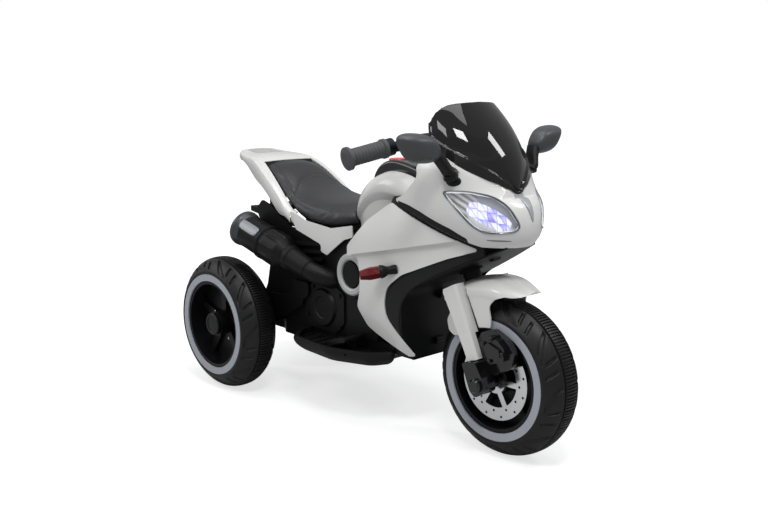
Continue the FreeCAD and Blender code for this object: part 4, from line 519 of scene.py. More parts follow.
def shoulder_cuts(turn, y):
    """Depth of the swept cuts: a cut's middle runs along the tyre by its sweep times the share across the
    shoulder plus its curl times the cube of that share. The distance from the middle, made shorter by the
    slope of the line, gives the depth through a soft step."""
    share = np.clip((np.abs(y) / MM - SHOULDER_START) / SHOULDER_WIDE, -0.2, 1.2)
    group = 2 * np.pi * TYRE_R / MM / GROUPS
    along = (turn / (2 * np.pi) * GROUPS + np.where(y > 0, 0.5, 0.0)) * group
    deep = np.zeros(np.broadcast(turn, y).shape)
    for start, sweep, curl, low, high, wide in CUTS:
        middle = start + sweep * share + curl * share ** 3
        slope = (sweep + 3 * curl * share ** 2) / SHOULDER_WIDE
        off = np.abs((along - middle + group / 2) % group - group / 2) / np.sqrt(1 + slope ** 2)
        ends = step_down(np.abs(share - (low + high) / 2), (high - low) / 2, END_SOFT)
        deep = np.maximum(deep, CUT_DEPTH * step_down(off, wide / 2, CUT_SOFT) * ends)
    return deep


def tread_radius(turn, y):
    """Crown of the tyre's radius less the drop times the 2.6th power of the share across; ribs, ring grooves
    and swept cuts are taken off it."""
    reach = np.abs(y)
    crown = TYRE_R - CROWN_DROP * (reach / TYRE_HALF) ** CROWN_POWER
    rib = RIB_DEPTH * ((turn * RIBS / (2 * np.pi)) % 1 > RIB_SHARE) * (reach < RIB_REACH)
    ring = RING_DEPTH * step_down(np.abs(reach - RING_PLACE), RING_HALF, RING_SOFT)
    return crown - rib - ring - shoulder_cuts(turn, y)


print("tread cuts in a group:", len(CUTS))

# %% Tyres
TURNS, TREAD_COLS = RIBS * 6, 85
# Half of the section behind the tread: distance from the middle, and radius.
BEAD = np.array([(0.041, 0.1055), (0.0405, 0.1036), (0.038, 0.1036), (0.038, 0.0892)])


def tyre_points(centre):
    """Rows go round the axle; columns go over the tread and back through the bead and the bore. A point is
    the centre plus its radius times the sine and the cosine of the turn."""
    turn = np.arange(TURNS)[:, None] * 2 * np.pi / TURNS
    tread_y = np.linspace(-TYRE_HALF, TYRE_HALF, TREAD_COLS)
    bead = np.r_[BEAD, BEAD[::-1] * [-1, 1]]
    radius = np.concatenate([tread_radius(turn, tread_y[None, :]), bead[:, 1] + 0 * turn], axis=1)
    return centre + xyz(radius * np.sin(turn), np.r_[tread_y, bead[:, 0]], radius * np.cos(turn))


for node in ("front_tyre", *pair("rear_tyre")):
    points = tyre_points(np.mean(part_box(node), axis=0))
    tyre = sheet_piece(node + "_tread", points, TYRE_BLACK, BODY_OF[node], flip=True, close_rows=True,
                       close_cols=True)
    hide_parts(node)
    print(tyre.name, len(tyre.data.polygons), "faces")

# %% [markdown]
# ## The shield's painted side light
# Behind the white fairing the black shield turns from a band that faces the side to a hollow that faces
# forward, and the band catches more light. That light is painted as a dark grey border that sweeps along the
# fairing's inner edge. It is a thin panel between two curves, laid on the same bulged side as the fairing.

# %% Painted light on the shield's side band
SIDE_HALF, WIDEST_X, TUCK_Z = 0.106, 0.1, 0.27
BORDER_SINK, BORDER_WALL = 0.0029, 0.0004
BORDER_IN = [(0.293, 0.3446), (0.2567, 0.3246), (0.2259, 0.3079), (0.1944, 0.2886), (0.1745, 0.2737),
             (0.1594, 0.2538), (0.1509, 0.2326), (0.1463, 0.2115), (0.1452, 0.1847), (0.1553, 0.1554)]
BORDER_OUT = [(0.293, 0.3500), (0.235, 0.3325), (0.196, 0.3170), (0.162, 0.2985), (0.1345, 0.2780),
              (0.1165, 0.2545), (0.107, 0.228), (0.106, 0.200), (0.130, 0.1745), (0.1545, 0.1535)]


def side_bulge(x, z):
    """Half-width of the side below the crease: 106 mm, less 1.2 per metre times the square of the distance
    from the widest station, less 1.9 per metre times the square of the drop under the tuck."""
    return SIDE_HALF - 1.2 * (x - WIDEST_X) ** 2 - 1.9 * np.maximum(0, TUCK_Z - z) ** 2


inner, outer = curve_through(BORDER_IN, 70), curve_through(BORDER_OUT, 70)
share = np.linspace(0, 1, 9)[None, :, None]
flat = inner[:, None, :] * (1 - share) + outer[:, None, :] * share
x, z = flat[..., 0], flat[..., 1]
# Painted light: a dark grey skin on the side-facing band of the black shield.
mirrored_pair("shield_border", xyz(x, BORDER_SINK - side_bulge(x, z), z), PAINTED_SIDE_LIGHT, wall=BORDER_WALL)
print("border length", round(float(np.linalg.norm(np.diff(inner, axis=0), axis=1).sum()), 3))

# %% [markdown]
# ## The seat
# The real seat is foam under stretched vinyl. The solid gives its outline. A copy is remeshed into even
# small faces, drawn in a little, and then blown up like a cushion with a cloth simulation whose underside
# is pinned to the pan. No point may move more than 4 mm. The welts come last, because a remesh would blur
# them: each is a narrow dip along a curve on the finished pad.

# %% Seat vinyl
def seat_vinyl():
    """Black vinyl: a cell pattern 2 mm across for the pressed grain over a slow drift of colour."""
    made = moulded("seat_vinyl", (0.029, 0.029, 0.033), 0.42, 0.25, 420.0, 0.00010, 0.07)
    tree = made.node_tree
    coords, bump, shader = (next(node for node in tree.nodes if node.type == kind)
                            for kind in ("TEX_COORD", "BUMP", "BSDF_PRINCIPLED"))
    cells = node_in(tree, "ShaderNodeTexVoronoi", Scale=560.0)
    second = node_in(tree, "ShaderNodeBump", Strength=0.5, Distance=0.00018)
    wire(tree, (coords.outputs["Object"], cells.inputs["Vector"]),
         (cells.outputs["Distance"], second.inputs["Height"]),
         (bump.outputs["Normal"], second.inputs["Normal"]),
         (second.outputs["Normal"], shader.inputs["Normal"]))
    return made


SEAT_VINYL = seat_vinyl()
print(SEAT_VINYL.name)

# %% Seat pad
VOXEL, SMOOTH_ROUNDS, DRAWN_IN, UNDERSIDE = 0.0045, 6, 0.0012, -0.45


def corner_state(mesh):
    """Corner places and normals of a mesh, as arrays."""
    return (read_threes(mesh.vertices, "co").astype(float),
            read_threes(mesh.vertex_normals, "vector").astype(float))


def move_corners(mesh, places):
    """Put the corners of a mesh at new places."""
    mesh.vertices.foreach_set("co", places.astype(np.float32).reshape(-1))


def settle(piece):
    """Apply a piece's modifiers to its mesh."""
    view = bpy.context.evaluated_depsgraph_get()
    fresh = bpy.data.meshes.new_from_object(piece.evaluated_get(view))
    piece.modifiers.clear()
    old, piece.data = piece.data, fresh
    bpy.data.meshes.remove(old)


places, triangles = joined("seat_cushion")
seat = piece_from("seat_pad", places, triangles, SEAT_VINYL, "chassis", 180.0)
even = seat.modifiers.new("even", "REMESH")
even.mode = "VOXEL"
even.voxel_size = VOXEL
settle(seat)
soften = seat.modifiers.new("soften", "SMOOTH")
soften.factor = 0.5
soften.iterations = SMOOTH_ROUNDS
settle(seat)
start, facing = corner_state(seat.data)
under = facing[:, 2] < UNDERSIDE
start = start - facing * np.where(under, 0.0, DRAWN_IN)[:, None]
move_corners(seat.data, start)
pins = seat.vertex_groups.new(name="pan_side")
pins.add(np.flatnonzero(under).tolist(), 1.0, "REPLACE")
print("seat pad corners", len(start), "pinned", int(under.sum()))

# %% Seat simulation
PRESSURE, SIM_STEPS, SWELL_LIMIT = 4.0, 20, 0.004
cloth = seat.modifiers.new("pad", "CLOTH")
cloth.settings.use_pressure = True
cloth.settings.uniform_pressure_force = PRESSURE
cloth.settings.vertex_group_mass = "pan_side"
cloth.settings.effector_weights.gravity = 0.0
cloth.settings.quality = 6
for step in range(1, SIM_STEPS + 1):
    scene.frame_set(step)
view = bpy.context.evaluated_depsgraph_get()
move = read_threes(seat.evaluated_get(view).data.vertices, "co").astype(float) - start
seat.modifiers.clear()
scene.frame_set(1)
length = np.linalg.norm(move, axis=1, keepdims=True)
move = move * np.minimum(1.0, SWELL_LIMIT / np.maximum(length, 1e-9))
move_corners(seat.data, start + move)
print("seat swelled by up to", round(float(np.linalg.norm(move, axis=1).max()) / MM, 2), "mm")
finer = seat.modifiers.new("finer", "SUBSURF")
finer.levels = finer.render_levels = 1
settle(seat)
print("seat corners after subdivision", len(seat.data.vertices))

# %% Seat welts
SEAT_X = np.array([-0.290, -0.225, -0.165, -0.110, -0.050, -0.006])
SEAT_Y = np.array([0.060, 0.074, 0.082, 0.084, 0.076, 0.056])
WELT_HALF, CROSS_DEPTH, BORDER_DEPTH, BEAD_RISE = 0.0026, 0.0026, 0.0018, 0.0009
FAR_OFF = 1.0


def bell(distance):
    """1 on a welt's line, falling as the exponential of minus the square of the distance over the half."""
    return np.exp(-(distance / WELT_HALF) ** 2)


def welt_dip(points):
    """Depth of the welts: a bell curve of the distance to the cross welt, which bows back in the middle,
    and to the border of the rear pad, which runs 15 mm inside the seat's edge."""
    x, y = points[:, 0], np.abs(points[:, 1])
    half = np.interp(x, SEAT_X, SEAT_Y)
    cross_x = -0.178 - 0.034 * (1 - np.minimum(1, y / 0.074) ** 2)
    beside_pad = (x < cross_x + 0.002) & (x >= -0.276)
    side = np.where(beside_pad, np.abs(y - (half - 0.015)), FAR_OFF)
    back = np.where(y < half - 0.013, np.abs(x + 0.274), FAR_OFF)
    bead = BEAD_RISE * bell(x - cross_x - 0.0055)
    return CROSS_DEPTH * bell(x - cross_x) + BORDER_DEPTH * bell(np.minimum(side, back)) - bead


where, facing = corner_state(seat.data)
dip = welt_dip(where) * np.clip((facing[:, 2] - 0.15) / 0.4, 0, 1)
move_corners(seat.data, where - facing * dip[:, None])
seat.data.update()
seat.data.shade_smooth()
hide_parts("seat_cushion")
print("seat faces", len(seat.data.polygons))

# %% [markdown]
# ## The windscreen
# The screen is a smoked plastic bubble that ends below in a narrow flange, parted from the bubble by a
# soft fold which runs down to a point on the nose. A plan section of it is half an ellipse, so one
# parameter is the angle round that ellipse and the other climbs from the base line to the rounded top.

# %% Windscreen section
AXLE = np.array([0.312, 0.0, 0.135])
# Height over the front axle, nose, rear edge and half-width of the screen's plan sections, in mm.
SCREEN_LEVELS = np.array([(303, 17, -69, 101), (335, 9, -76, 99), (373, -7, -86, 95), (410, -32, -104, 89),
                          (440, -59, -115, 77), (462, -82, -124, 64)], float)
BASE_LINE = np.array([(-90, 385.6), (-76, 377.5), (-17, 343.5), (4, 329.5), (12.3, 318.5), (16.5, 307)])
TOP_LINE = np.array([(0, 456.1), (30, 454.9), (47.5, 453.4), (58, 451.2), (67.4, 446.7), (75.5, 439.2),
                     (81, 430.6), (86.2, 419.6), (95, 400.7), (99, 390), (106, 360)])
SCREEN_LOW, SCREEN_HIGH, LEVEL_STEPS = 303, 459, 500
fine_levels = curve_through(SCREEN_LEVELS, 400)


def screen_point(turn, level):
    """Point of the outer face: the nose less the rear edge times the cosine of the angle ahead, the
    half-width times its sine across, both read at the level."""
    nose, edge, half = (np.interp(level, fine_levels[:, 0], fine_levels[:, k]) for k in (1, 2, 3))
    return edge + (nose - edge) * np.cos(turn), half * np.sin(turn)


def crossing(turn, limit):
    """Level at which the face first passes a limit, found on a row of 500 levels for every angle at once."""
    levels = np.linspace(SCREEN_LOW, SCREEN_HIGH, LEVEL_STEPS)[:, None]
    x, y = screen_point(turn[None, :], levels)
    return levels[np.argmax(levels > limit(x, np.abs(y)), axis=0), 0]


print("screen levels", len(SCREEN_LEVELS))

# %% Windscreen
SCREEN_WALL = 0.0024
turn = np.linspace(-np.pi / 2, np.pi / 2, 121)
low = crossing(turn, lambda x, y: np.interp(x, *BASE_LINE.T))
high = crossing(turn, lambda x, y: np.interp(y, *TOP_LINE.T))
level = low + (high - low) * np.linspace(0, 1, 90)[:, None]
x, y = screen_point(turn[None, :], level)
band = 26 * np.abs(np.sin(turn)) ** 0.7 * (1 - 0.35 * np.sin(turn) ** 6) + 0.5
rise = (level - low) / band
fold = -2.0 * np.exp(-((rise - 1) / 1.6) ** 2) * step_down(1.0, rise, 0.22)
push = np.where(rise < 1, 1.2 * rise ** 2, fold) * step_down(np.abs(turn), 1.5, 0.1)
points = AXLE + MM * xyz(x + push * np.cos(turn), y + push * np.sin(turn), level)
screen = sheet_piece("windscreen_shell", points, SMOKED, "chassis", flip=True, wall=SCREEN_WALL, angle=60)
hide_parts("windscreen")
print("screen faces", len(screen.data.polygons))

# %% [markdown]
# ## Headlamps
# Behind each clear cover lies a moulded chrome reflector whose reflections are painted into its colour: grey
# above, white below and streaked behind. Between them a faceted cluster glows blue-white, with painted glints
# on its facets and painted shade in their seams. All of it is one sheet a little behind the cover. Its colour
# and glow are worked out for every point and kept as attributes, so no picture is needed.

# %% Lamp outline helpers
UP = np.array([0.0, 0.0, 1.0])
LAMP_ALONG = np.array([1, 1, 0]) * math.sqrt(0.5)
LAMP_OUT = np.array([1, -1, 0]) * math.sqrt(0.5)
# Outline of the right cover in mm: distance along it from the axle's plane, and height over the axle.
LAMP_OUTLINE = np.array([(-118, 318), (-74, 319), (-33, 311), (-8, 295), (12, 264), (4, 253), (-46, 251),
                         (-68, 263), (-91, 288)], float)


def corner_cut(outline, rounds=4, keep=0.2):
    """Rounded outline: each round puts two points on every side, a share in from its ends."""
    for _ in range(rounds):
        after = np.roll(outline, -1, axis=0)
        outline = np.stack([outline * (1 - keep) + after * keep, outline * keep + after * (1 - keep)],
                           axis=1).reshape(-1, 2)
    return outline


def inside(points, outline):
    """True where a ray to the right crosses the outline an odd number of times."""
    a, b = outline[None], np.roll(outline, -1, axis=0)[None]
    s, h = points[:, 0:1], points[:, 1:2]
    spans = (a[..., 1] > h) != (b[..., 1] > h)
    rise = np.where(b[..., 1] == a[..., 1], 1e-9, b[..., 1] - a[..., 1])
    return (spans & (s < a[..., 0] + (h - a[..., 1]) / rise * (b[..., 0] - a[..., 0]))).sum(1) % 2 == 1


def lamp_place(s, h, out):
    """Place from lamp coordinates: the axle plus s mm along, h mm up and a distance out in metres."""
    return AXLE + MM * (s[..., None] * LAMP_ALONG + h[..., None] * UP) + np.asarray(out)[..., None] * LAMP_OUT


lamp_edge = corner_cut(LAMP_OUTLINE)
print("lamp outline points", len(lamp_edge))

# %% Headlamp cover as a surface
RAY_START = 0.3


def powers(s, h):
    """Terms of a quartic in the two lamp coordinates."""
    u, v = s / 60 + 0.9, (h - 285) / 35
    return np.stack([u ** i * v ** j for i in range(5) for j in range(5 - i)], axis=-1)


s, h = np.meshgrid(np.linspace(-112, 8, 25), np.linspace(254, 317, 13))
probe = np.c_[s.ravel(), h.ravel()]
probe = probe[inside(probe, lamp_edge)]
fall = drop_onto("headlight_lenses", lamp_place(*probe.T, RAY_START), -LAMP_OUT)
met = np.isfinite(fall)
terms, reach = powers(*probe[met].T), RAY_START - fall[met]
COVER_FIT = np.linalg.lstsq(terms, reach, rcond=None)[0]


def on_cover(s, h, out):
    """Place over a lamp coordinate, at a distance in metres outside the cover's fitted face."""
    return lamp_place(s, h, powers(s, h) @ COVER_FIT + out)


print("cover fitted to", round(float(np.abs(terms @ COVER_FIT - reach).max()) / MM, 2), "mm")

# %% Headlamp reflector colours and painted reflections
CELL_WIDE, CELL_TALL = 17, 13
CLUSTER_S, CLUSTER_H, CLUSTER_LEAN = -39, 277, math.radians(-27)
CLUSTER_HALF, CLUSTER_TALL = 38, 13.5
# Pale and violet are the painted glints of the facets; grey above, white below and the streak tint are the
# chrome's painted reflection; the seam shade is painted shade along the facet edges.
CELL_GLINT_PALE, CELL_GLINT_VIOLET = np.array([0.93, 0.94, 1.0]), np.array([0.34, 0.30, 0.92])
REFLECTION_GREY_ABOVE, REFLECTION_WHITE_BELOW = np.array([0.36, 0.37, 0.40]), np.array([0.86, 0.86, 0.85])
REFLECTION_STREAK_TINT, SEAM_SHADE = np.array([1.0, 0.98, 0.97]), np.array([0.5, 0.52, 0.2])


def facet(u, v):
    """Number between 0 and 1 that is the same all over one facet: slanted cells cut on their diagonals. The
    distance to the nearest edge of the facet and its tilt come with it."""
    a = u / CELL_WIDE + 0.45 * v / CELL_TALL + 0.2
    b = v / CELL_TALL - 0.30 * u / CELL_WIDE + 0.45
    fa, fb = a % 1, b % 1
    half = fa + fb > 1
    value = np.abs(np.sin(np.floor(a) * 12.99 + np.floor(b) * 78.23 + half * 37.7) * 437.58) % 1
    edge = np.minimum(np.minimum(np.minimum(fa, 1 - fa), np.minimum(fb, 1 - fb)), np.abs(fa + fb - 1) * 0.7)
    return value, edge, np.where(half, fa - fb, fb - 0.6 * fa)


def reflector_look(s, h):
    """Colour, glow and depth: the cluster is a slanted rounded box whose cells take a painted glint, a mix of
    white and violet set by chance and by each facet's tilt, with painted shade in their seams; everything
    round it is the chrome's painted reflection, grey above, streaked behind and white below."""
    cos, sin = math.cos(CLUSTER_LEAN), math.sin(CLUSTER_LEAN)
    u = (s - CLUSTER_S) * cos + (h - CLUSTER_H) * sin
    v = -(s - CLUSTER_S) * sin + (h - CLUSTER_H) * cos
    box = (np.abs(u) / CLUSTER_HALF) ** 3 + (np.abs(v) / CLUSTER_TALL) ** 3
    lit = step_down(box, 1.0, 0.25)[..., None]
    # Painted glint: a value set by chance for each facet, raised by the facet's tilt, picks white or violet.
    facet_glint, edge, tilt = facet(u, v)
    facet_glint = np.clip(facet_glint + 0.35 * tilt, 0, 1)[..., None] ** 0.7
    # Painted shade along the seams between facets.
    seam = step_down(edge, 0.05, 0.08)[..., None]
    cell = (facet_glint * CELL_GLINT_PALE + (1 - facet_glint) * CELL_GLINT_VIOLET) * (1 - seam * SEAM_SHADE)
    # Painted reflection: bright and dark streaks on the chrome behind the cluster.
    streak = (0.5 + 0.5 * np.sin((v + 0.1 * u) * 0.75))[..., None]
    above = step_down(-v, -1.0, 7.0)[..., None]
    behind = step_down(u, -30, 12)[..., None]
    # Painted reflection of the chrome: grey above, white below.
    reflected_field = above * REFLECTION_GREY_ABOVE + (1 - above) * REFLECTION_WHITE_BELOW
    reflected_field = reflected_field * (1 - behind) + behind * (0.22 + 0.55 * streak) * REFLECTION_STREAK_TINT
    depth = 0.010 + 0.004 * above[..., 0] - lit[..., 0] * 0.003 * tilt
    # The glow is the lamp's own light, made stronger on facets with a painted glint.
    return reflected_field * (1 - lit) + cell * lit, cell * lit * (0.25 + 0.75 * facet_glint), depth


print("lamp colours ready")

# %% Headlamp reflectors
LAMP_GLOW, REFLECTOR_SHARE, REFLECTOR_WALL = 0.55, 0.965, 0.001


def lamp_finish():
    """Reflector finish: colour, with its painted reflections, and glow come from the sheet's own attributes,
    with a noise in the gloss.
    """
    made, tree, shader, where = finish("lamp_reflector", Emission_Strength=LAMP_GLOW)
    for name, socket in (("lamp_painted_reflection", "Base Color"), ("lamp_glow", "Emission Color")):
        layer = node_in(tree, "ShaderNodeAttribute", attribute_name=name)
        wire(tree, (layer.outputs["Color"], shader.inputs[socket]))
    wandering_gloss(tree, shader, noise_value(tree, where, 350.0, 2.0), 0.12, 0.3)
    return made


def colour_attribute(mesh, name, colours):
    """Colour for every point of a mesh, from an array of red, green and blue."""
    layer = mesh.color_attributes.new(name, "FLOAT_COLOR", "POINT")
    layer.data.foreach_set("color", np.c_[colours, np.ones(len(colours))].astype(np.float32).ravel())


s, h = np.meshgrid(np.linspace(-119, 13, 200), np.linspace(249, 321, 104))
# The colour holds the painted reflections, painted glints and painted seam shade.
colour, glow, depth = reflector_look(s, h)
shrunk = lamp_edge.mean(0) + (lamp_edge - lamp_edge.mean(0)) * REFLECTOR_SHARE
quads = grid_faces(*s.shape)
quads = quads[inside(np.c_[s.ravel(), h.ravel()], shrunk)[quads].all(1)]
used, quads = np.unique(quads, return_inverse=True)
quads, right = quads.reshape(-1, 4), on_cover(s, h, -depth).reshape(-1, 3)[used]
both_sides = np.r_[right, right * [1, -1, 1]]
faces = np.r_[quads, quads[:, ::-1] + len(right)]
cluster = piece_from("lamp_reflectors", both_sides, faces, lamp_finish(), "chassis", 20.0)
for name, values in (("lamp_painted_reflection", colour), ("lamp_glow", glow)):
    colour_attribute(cluster.data, name, np.tile(values.reshape(-1, 3)[used], (2, 1)))
back = cluster.modifiers.new("wall", "SOLIDIFY")
back.thickness, back.offset = REFLECTOR_WALL, -1.0
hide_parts("headlight_leds")
print("reflector faces", len(faces))

# %% [markdown]
# ## Trim on the nose
# A fine grey bead frames each headlamp cover, a pale V is let into the middle of the nose, and under each
# lamp the shade in a short slot is painted as a grey strip, with no cut. The bead follows the cover's fitted
# face. The others are laid on the nose's own surface: points are dropped onto the solid and lifted by a
# fraction of a millimetre, so they fit it.

# %% Lamp beads
BEAD_RADIUS = 0.0009
# The bead's own grey; the same grey paints the shade inside the slots under the lamps.
BEAD_GREY_AND_SLOT_SHADE = moulded("bead_grey_and_slot_shade", (0.24, 0.245, 0.25), 0.35, 0.08, 900.0, 0.00002)
TRIM_SILVER = moulded("trim_silver", (0.46, 0.47, 0.49), 0.3, 0.04, 900.0, 0.00002, Metallic=0.35)


def tube_points(path, step, radius, sides, lean):
    """Grid round a path: each ring is a circle square to the step there, whose first point lies square to the
    step and to the lean."""
    step = unit(step)
    side = unit(np.cross(step, lean))
    t = circle(sides)[..., None]
    return path[:, None] + radius * (np.cos(t) * side[:, None] + np.sin(t) * np.cross(step, side)[:, None])


path = on_cover(lamp_edge[:, 0], lamp_edge[:, 1], 0.0)
step = np.roll(path, -1, axis=0) - np.roll(path, 1, axis=0)
bead = tube_points(path, step, BEAD_RADIUS, 8, [0.3, 0.2, 1.0])
mirrored_pair("lamp_bead", bead, BEAD_GREY_AND_SLOT_SHADE, close_rows=True, close_cols=True)
print("bead points", len(path))

# %% Nose insert and painted slot shade
FRONT_START = 0.6
z = np.linspace(0.4455, 0.404, 24)[:, None]
half = np.interp(z, [0.403, 0.412, 0.4455], [0.0006, 0.0032, 0.0105])
starts = xyz(FRONT_START, half * np.linspace(-1, 1, 9)[None, :], z)
points = laid_on("nose_cowl", starts, (-1, 0, 0), 0.0006)
sheet_piece("nose_insert", points, TRIM_SILVER, "chassis", flip=True, wall=0.0009)
say_box("nose insert", points)
# The slot is not cut: the shade inside it is painted as a thin grey strip laid on the nose.
SLOT_BACK, SLOT_FRONT, SLOT_HEIGHT, SLOT_SLOPE, SLOT_HALF = -43, -3, 240.5, 0.04, 1.5
along = np.linspace(SLOT_BACK, SLOT_FRONT, 30)[:, None]
tall = SLOT_HALF * np.sin(np.pi * np.linspace(0.04, 0.96, 30)[:, None]) ** 0.5
h = SLOT_HEIGHT - SLOT_SLOPE * (along - SLOT_BACK) + tall * np.linspace(-1, 1, 5)[None, :]
points = laid_on("nose_cowl", lamp_place(along + 0 * h, h, RAY_START), -LAMP_OUT, 0.0003)
mirrored_pair("lamp_slot", points, BEAD_GREY_AND_SLOT_SHADE, wall=0.0005)
say_box("lamp slot", points)

# %% [markdown]
# ## Stripe and dash skirts
# A black stripe parts the nose from the side panel, and the glossy dash runs down over the tank's shoulders.
# Both are thin skins: points on a grid are dropped sideways or straight down onto the solid that carries
# them, and lifted by half a millimetre at most.

# %% Stripe and dash skirts
SIDE_START, TOP_START = 0.4, 0.7
STRIPE_LIMIT = 0.34
UPPER_EDGE = np.array([(0.1475, 0.4262), (0.176, 0.4222), (0.2056, 0.4140), (0.2632, 0.3912),
                       (0.286, 0.3760)])
x = np.linspace(0.1475, 0.286, 60)[:, None]
low = 0.427 - 65 / 166 * (x - 0.137) + 0.0003
high = np.maximum(np.interp(x, *UPPER_EDGE.T), low + 0.0006)
starts = xyz(x, -SIDE_START, low + (high - low) * np.linspace(0, 1, 7)[None, :])
points = laid_on("nose_cowl", starts, (0, 1, 0), 0.0004, STRIPE_LIMIT)
mirrored_pair("nose_stripe", points, SATIN_BLACK, wall=0.0005)
say_box("stripe", points)
SKIRT_IN = 0.0368
# Outer edge of the skirt: station along the bike and distance from the middle.
SKIRT_OUT = np.array([(0.036, 0.039), (0.043, 0.0425), (0.07, 0.0475), (0.101, 0.0507), (0.152, 0.0500)])
x = np.linspace(0.036, 0.152, 50)[:, None]
y = SKIRT_IN + (np.interp(x, *SKIRT_OUT.T) - SKIRT_IN) * np.linspace(0, 1, 14)[None, :]
points = laid_on("tank_cover", xyz(x, -y, TOP_START), (0, 0, -1), 0.0005)
mirrored_pair("dash_skirt", points, GLOSS_BLACK, flip=True, wall=0.0006)
say_box("skirt", points)

# %% [markdown]
# ## Silencers
# The toy silencer is a ribbed can with a dark-grey rolled cap, a bare grey plate, a stepped neck and a pipe
# that dives into the engine cover. The can is a profile turned round one axis. Its ribs are added to the
# radius as narrow steps of the angle. The plate is a rounded rectangle bent round the same axis.

# %% Silencer axis
PIPE_END = np.array([-0.293, -0.116, 0.331])
PIPE_RUN = unit(np.array([244.0, 11.0, -70.0]))
PIPE_SIDE = unit(np.cross(PIPE_RUN, UP))
PIPE_UP = np.cross(PIPE_SIDE, PIPE_RUN)


def round_pipe(along, radius, turn):
    """Place at a distance along the silencer's axis, a radius and an angle up from its outer side."""
    along, radius, turn = (part[..., None] for part in np.broadcast_arrays(along, radius, turn))
    return PIPE_END + along * PIPE_RUN + radius * (np.cos(turn) * PIPE_SIDE + np.sin(turn) * PIPE_UP)


def rounded_patch(rows=9, cols=64, power=5.0):
    """Grid over a rounded square: the ring share times the cosine and sine, stretched so that the sum of
    their powers is one."""
    ring, t = np.linspace(0.002, 1, rows)[:, None], circle(cols)
    edge = (np.abs(np.cos(t)) ** power + np.abs(np.sin(t)) ** power) ** (-1 / power)
    return ring * edge * np.cos(t), ring * edge * np.sin(t)


print("silencer runs along", PIPE_RUN.round(3))

# %% Silencers
CAN_R, CAN_RIBS, RIB_TALL, RIB_EDGE = 0.034, 10, 0.0022, 0.0028
RIB_MIDDLE, RIB_RUN = 0.1115, 0.0195
# Profile of the can in mm: distance along the axis, and radius over or under that of the can.
CAN = MM * np.array([(12, -34), (12, -12), (3, -9), (0, -6), (0.5, -2.5), (5, 1.6), (9, 2), (13, 1.6),
                     (17, -1), (78, -1), (80, 1), (86, 1), (88, -2), (134.6, -2), (136, -3), (148.5, -12),
                     (152.5, -9.5), (162, -9.5), (164.5, -12), (224, -16)])
CAP_STEPS = (1, 8.2)
CAP_GREY = moulded("cap_grey", (0.05, 0.052, 0.055), 0.34, 0.12, 1500.0, 0.00004)
PLATE_GREY = moulded("plate_grey", (0.30, 0.315, 0.335), 0.34, 0.06, 1600.0, 0.00003, Metallic=0.3)
steps = np.arange((len(CAN) - 1) * 6) / 6
along, radius = (np.interp(steps, np.arange(len(CAN)), CAN[:, k])[:, None] for k in (0, 1))
radius = radius + CAN_R
turn = circle(160)
between = np.abs((turn / (2 * np.pi) * CAN_RIBS) % 1 - 0.5) * 2 * np.pi * CAN_R / CAN_RIBS
rib = RIB_TALL * step_down(between, RIB_EDGE, 0.0022) * step_down(np.abs(along - RIB_MIDDLE), RIB_RUN, 0.003)
points = round_pipe(along, radius + rib, turn)
for node, side in zip(pair("muffler"), (1, -1)):
    can = sheet_piece(node + "_can", points * [1, side, 1], SATIN_BLACK, "chassis", flip=side < 0, angle=30,
                      close_cols=True)
    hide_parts(node)
cap = (steps > CAP_STEPS[0]) & (steps < CAP_STEPS[1])
points = round_pipe(along[cap], radius[cap] + 0.0003, turn)
mirrored_pair("silencer_cap", points, CAP_GREY, close_cols=True, wall=0.0003)
u, v = rounded_patch()
points = round_pipe(0.049 + 0.027 * u, CAN_R + 0.0003, np.radians(40 + 17.0 * v))
mirrored_pair("silencer_plate", points, PLATE_GREY, close_cols=True, wall=0.0012)
print("silencer profile points", len(CAN))

# %% Silencer pipes
PIPE_R, PIPE_WALL = 0.0165, 0.0015
path = curve_through([(-0.098, -0.1075, 0.2745), (-0.080, -0.1050, 0.2685), (-0.066, -0.0965, 0.2625),
                      (-0.054, -0.0850, 0.2565), (-0.049, -0.0740, 0.2535)], 24)
points = tube_points(path, np.gradient(path, axis=0), PIPE_R, 40, UP)
mirrored_pair("silencer_pipe", points, SATIN_BLACK, close_cols=True, wall=PIPE_WALL)
print("pipe length", round(float(np.linalg.norm(np.diff(path, axis=0), axis=1).sum()), 3))

# %% [markdown]
# ## Tail joints
# A white closing strip fills the step between the tail's front end and the seat trim on each side, so that
# only a fine line is left there. Its section is an upright wall with a rolled top.

# %% Tail joints
JOINT_BACK, JOINT_FRONT, ROLL, SHELF = -0.1655, -0.1508, 0.004, 0.008
share = np.linspace(0, 1, 12)[:, None]
bend = np.linspace(0, np.pi / 2, 8)[None, :]
out, foot, top = -0.0902 - 0.0017 * share, 0.3560 - 0.0090 * share, 0.3765 - 0.0035 * share
wall_z = foot + (top - ROLL - foot) * np.linspace(0, 1, 6)[None, :]
y = np.concatenate([out + 0 * wall_z, out + ROLL * (1 - np.cos(bend)), out + SHELF], axis=1)
z = np.concatenate([wall_z, top - ROLL + ROLL * np.sin(bend), top + 0.0004], axis=1)
points = xyz(JOINT_BACK + (JOINT_FRONT - JOINT_BACK) * share, y, z)
mirrored_pair("tail_joint", points, GLOSS_WHITE, wall=0.0024)
say_box("tail joint", points)

# %% [markdown]
# ## Seat lip
# The pad's base has a black lip along its rear edge that closes the slot in front of the tail. It is one bent
# section carried across the seat, a little lower towards its ends like the pad above it.

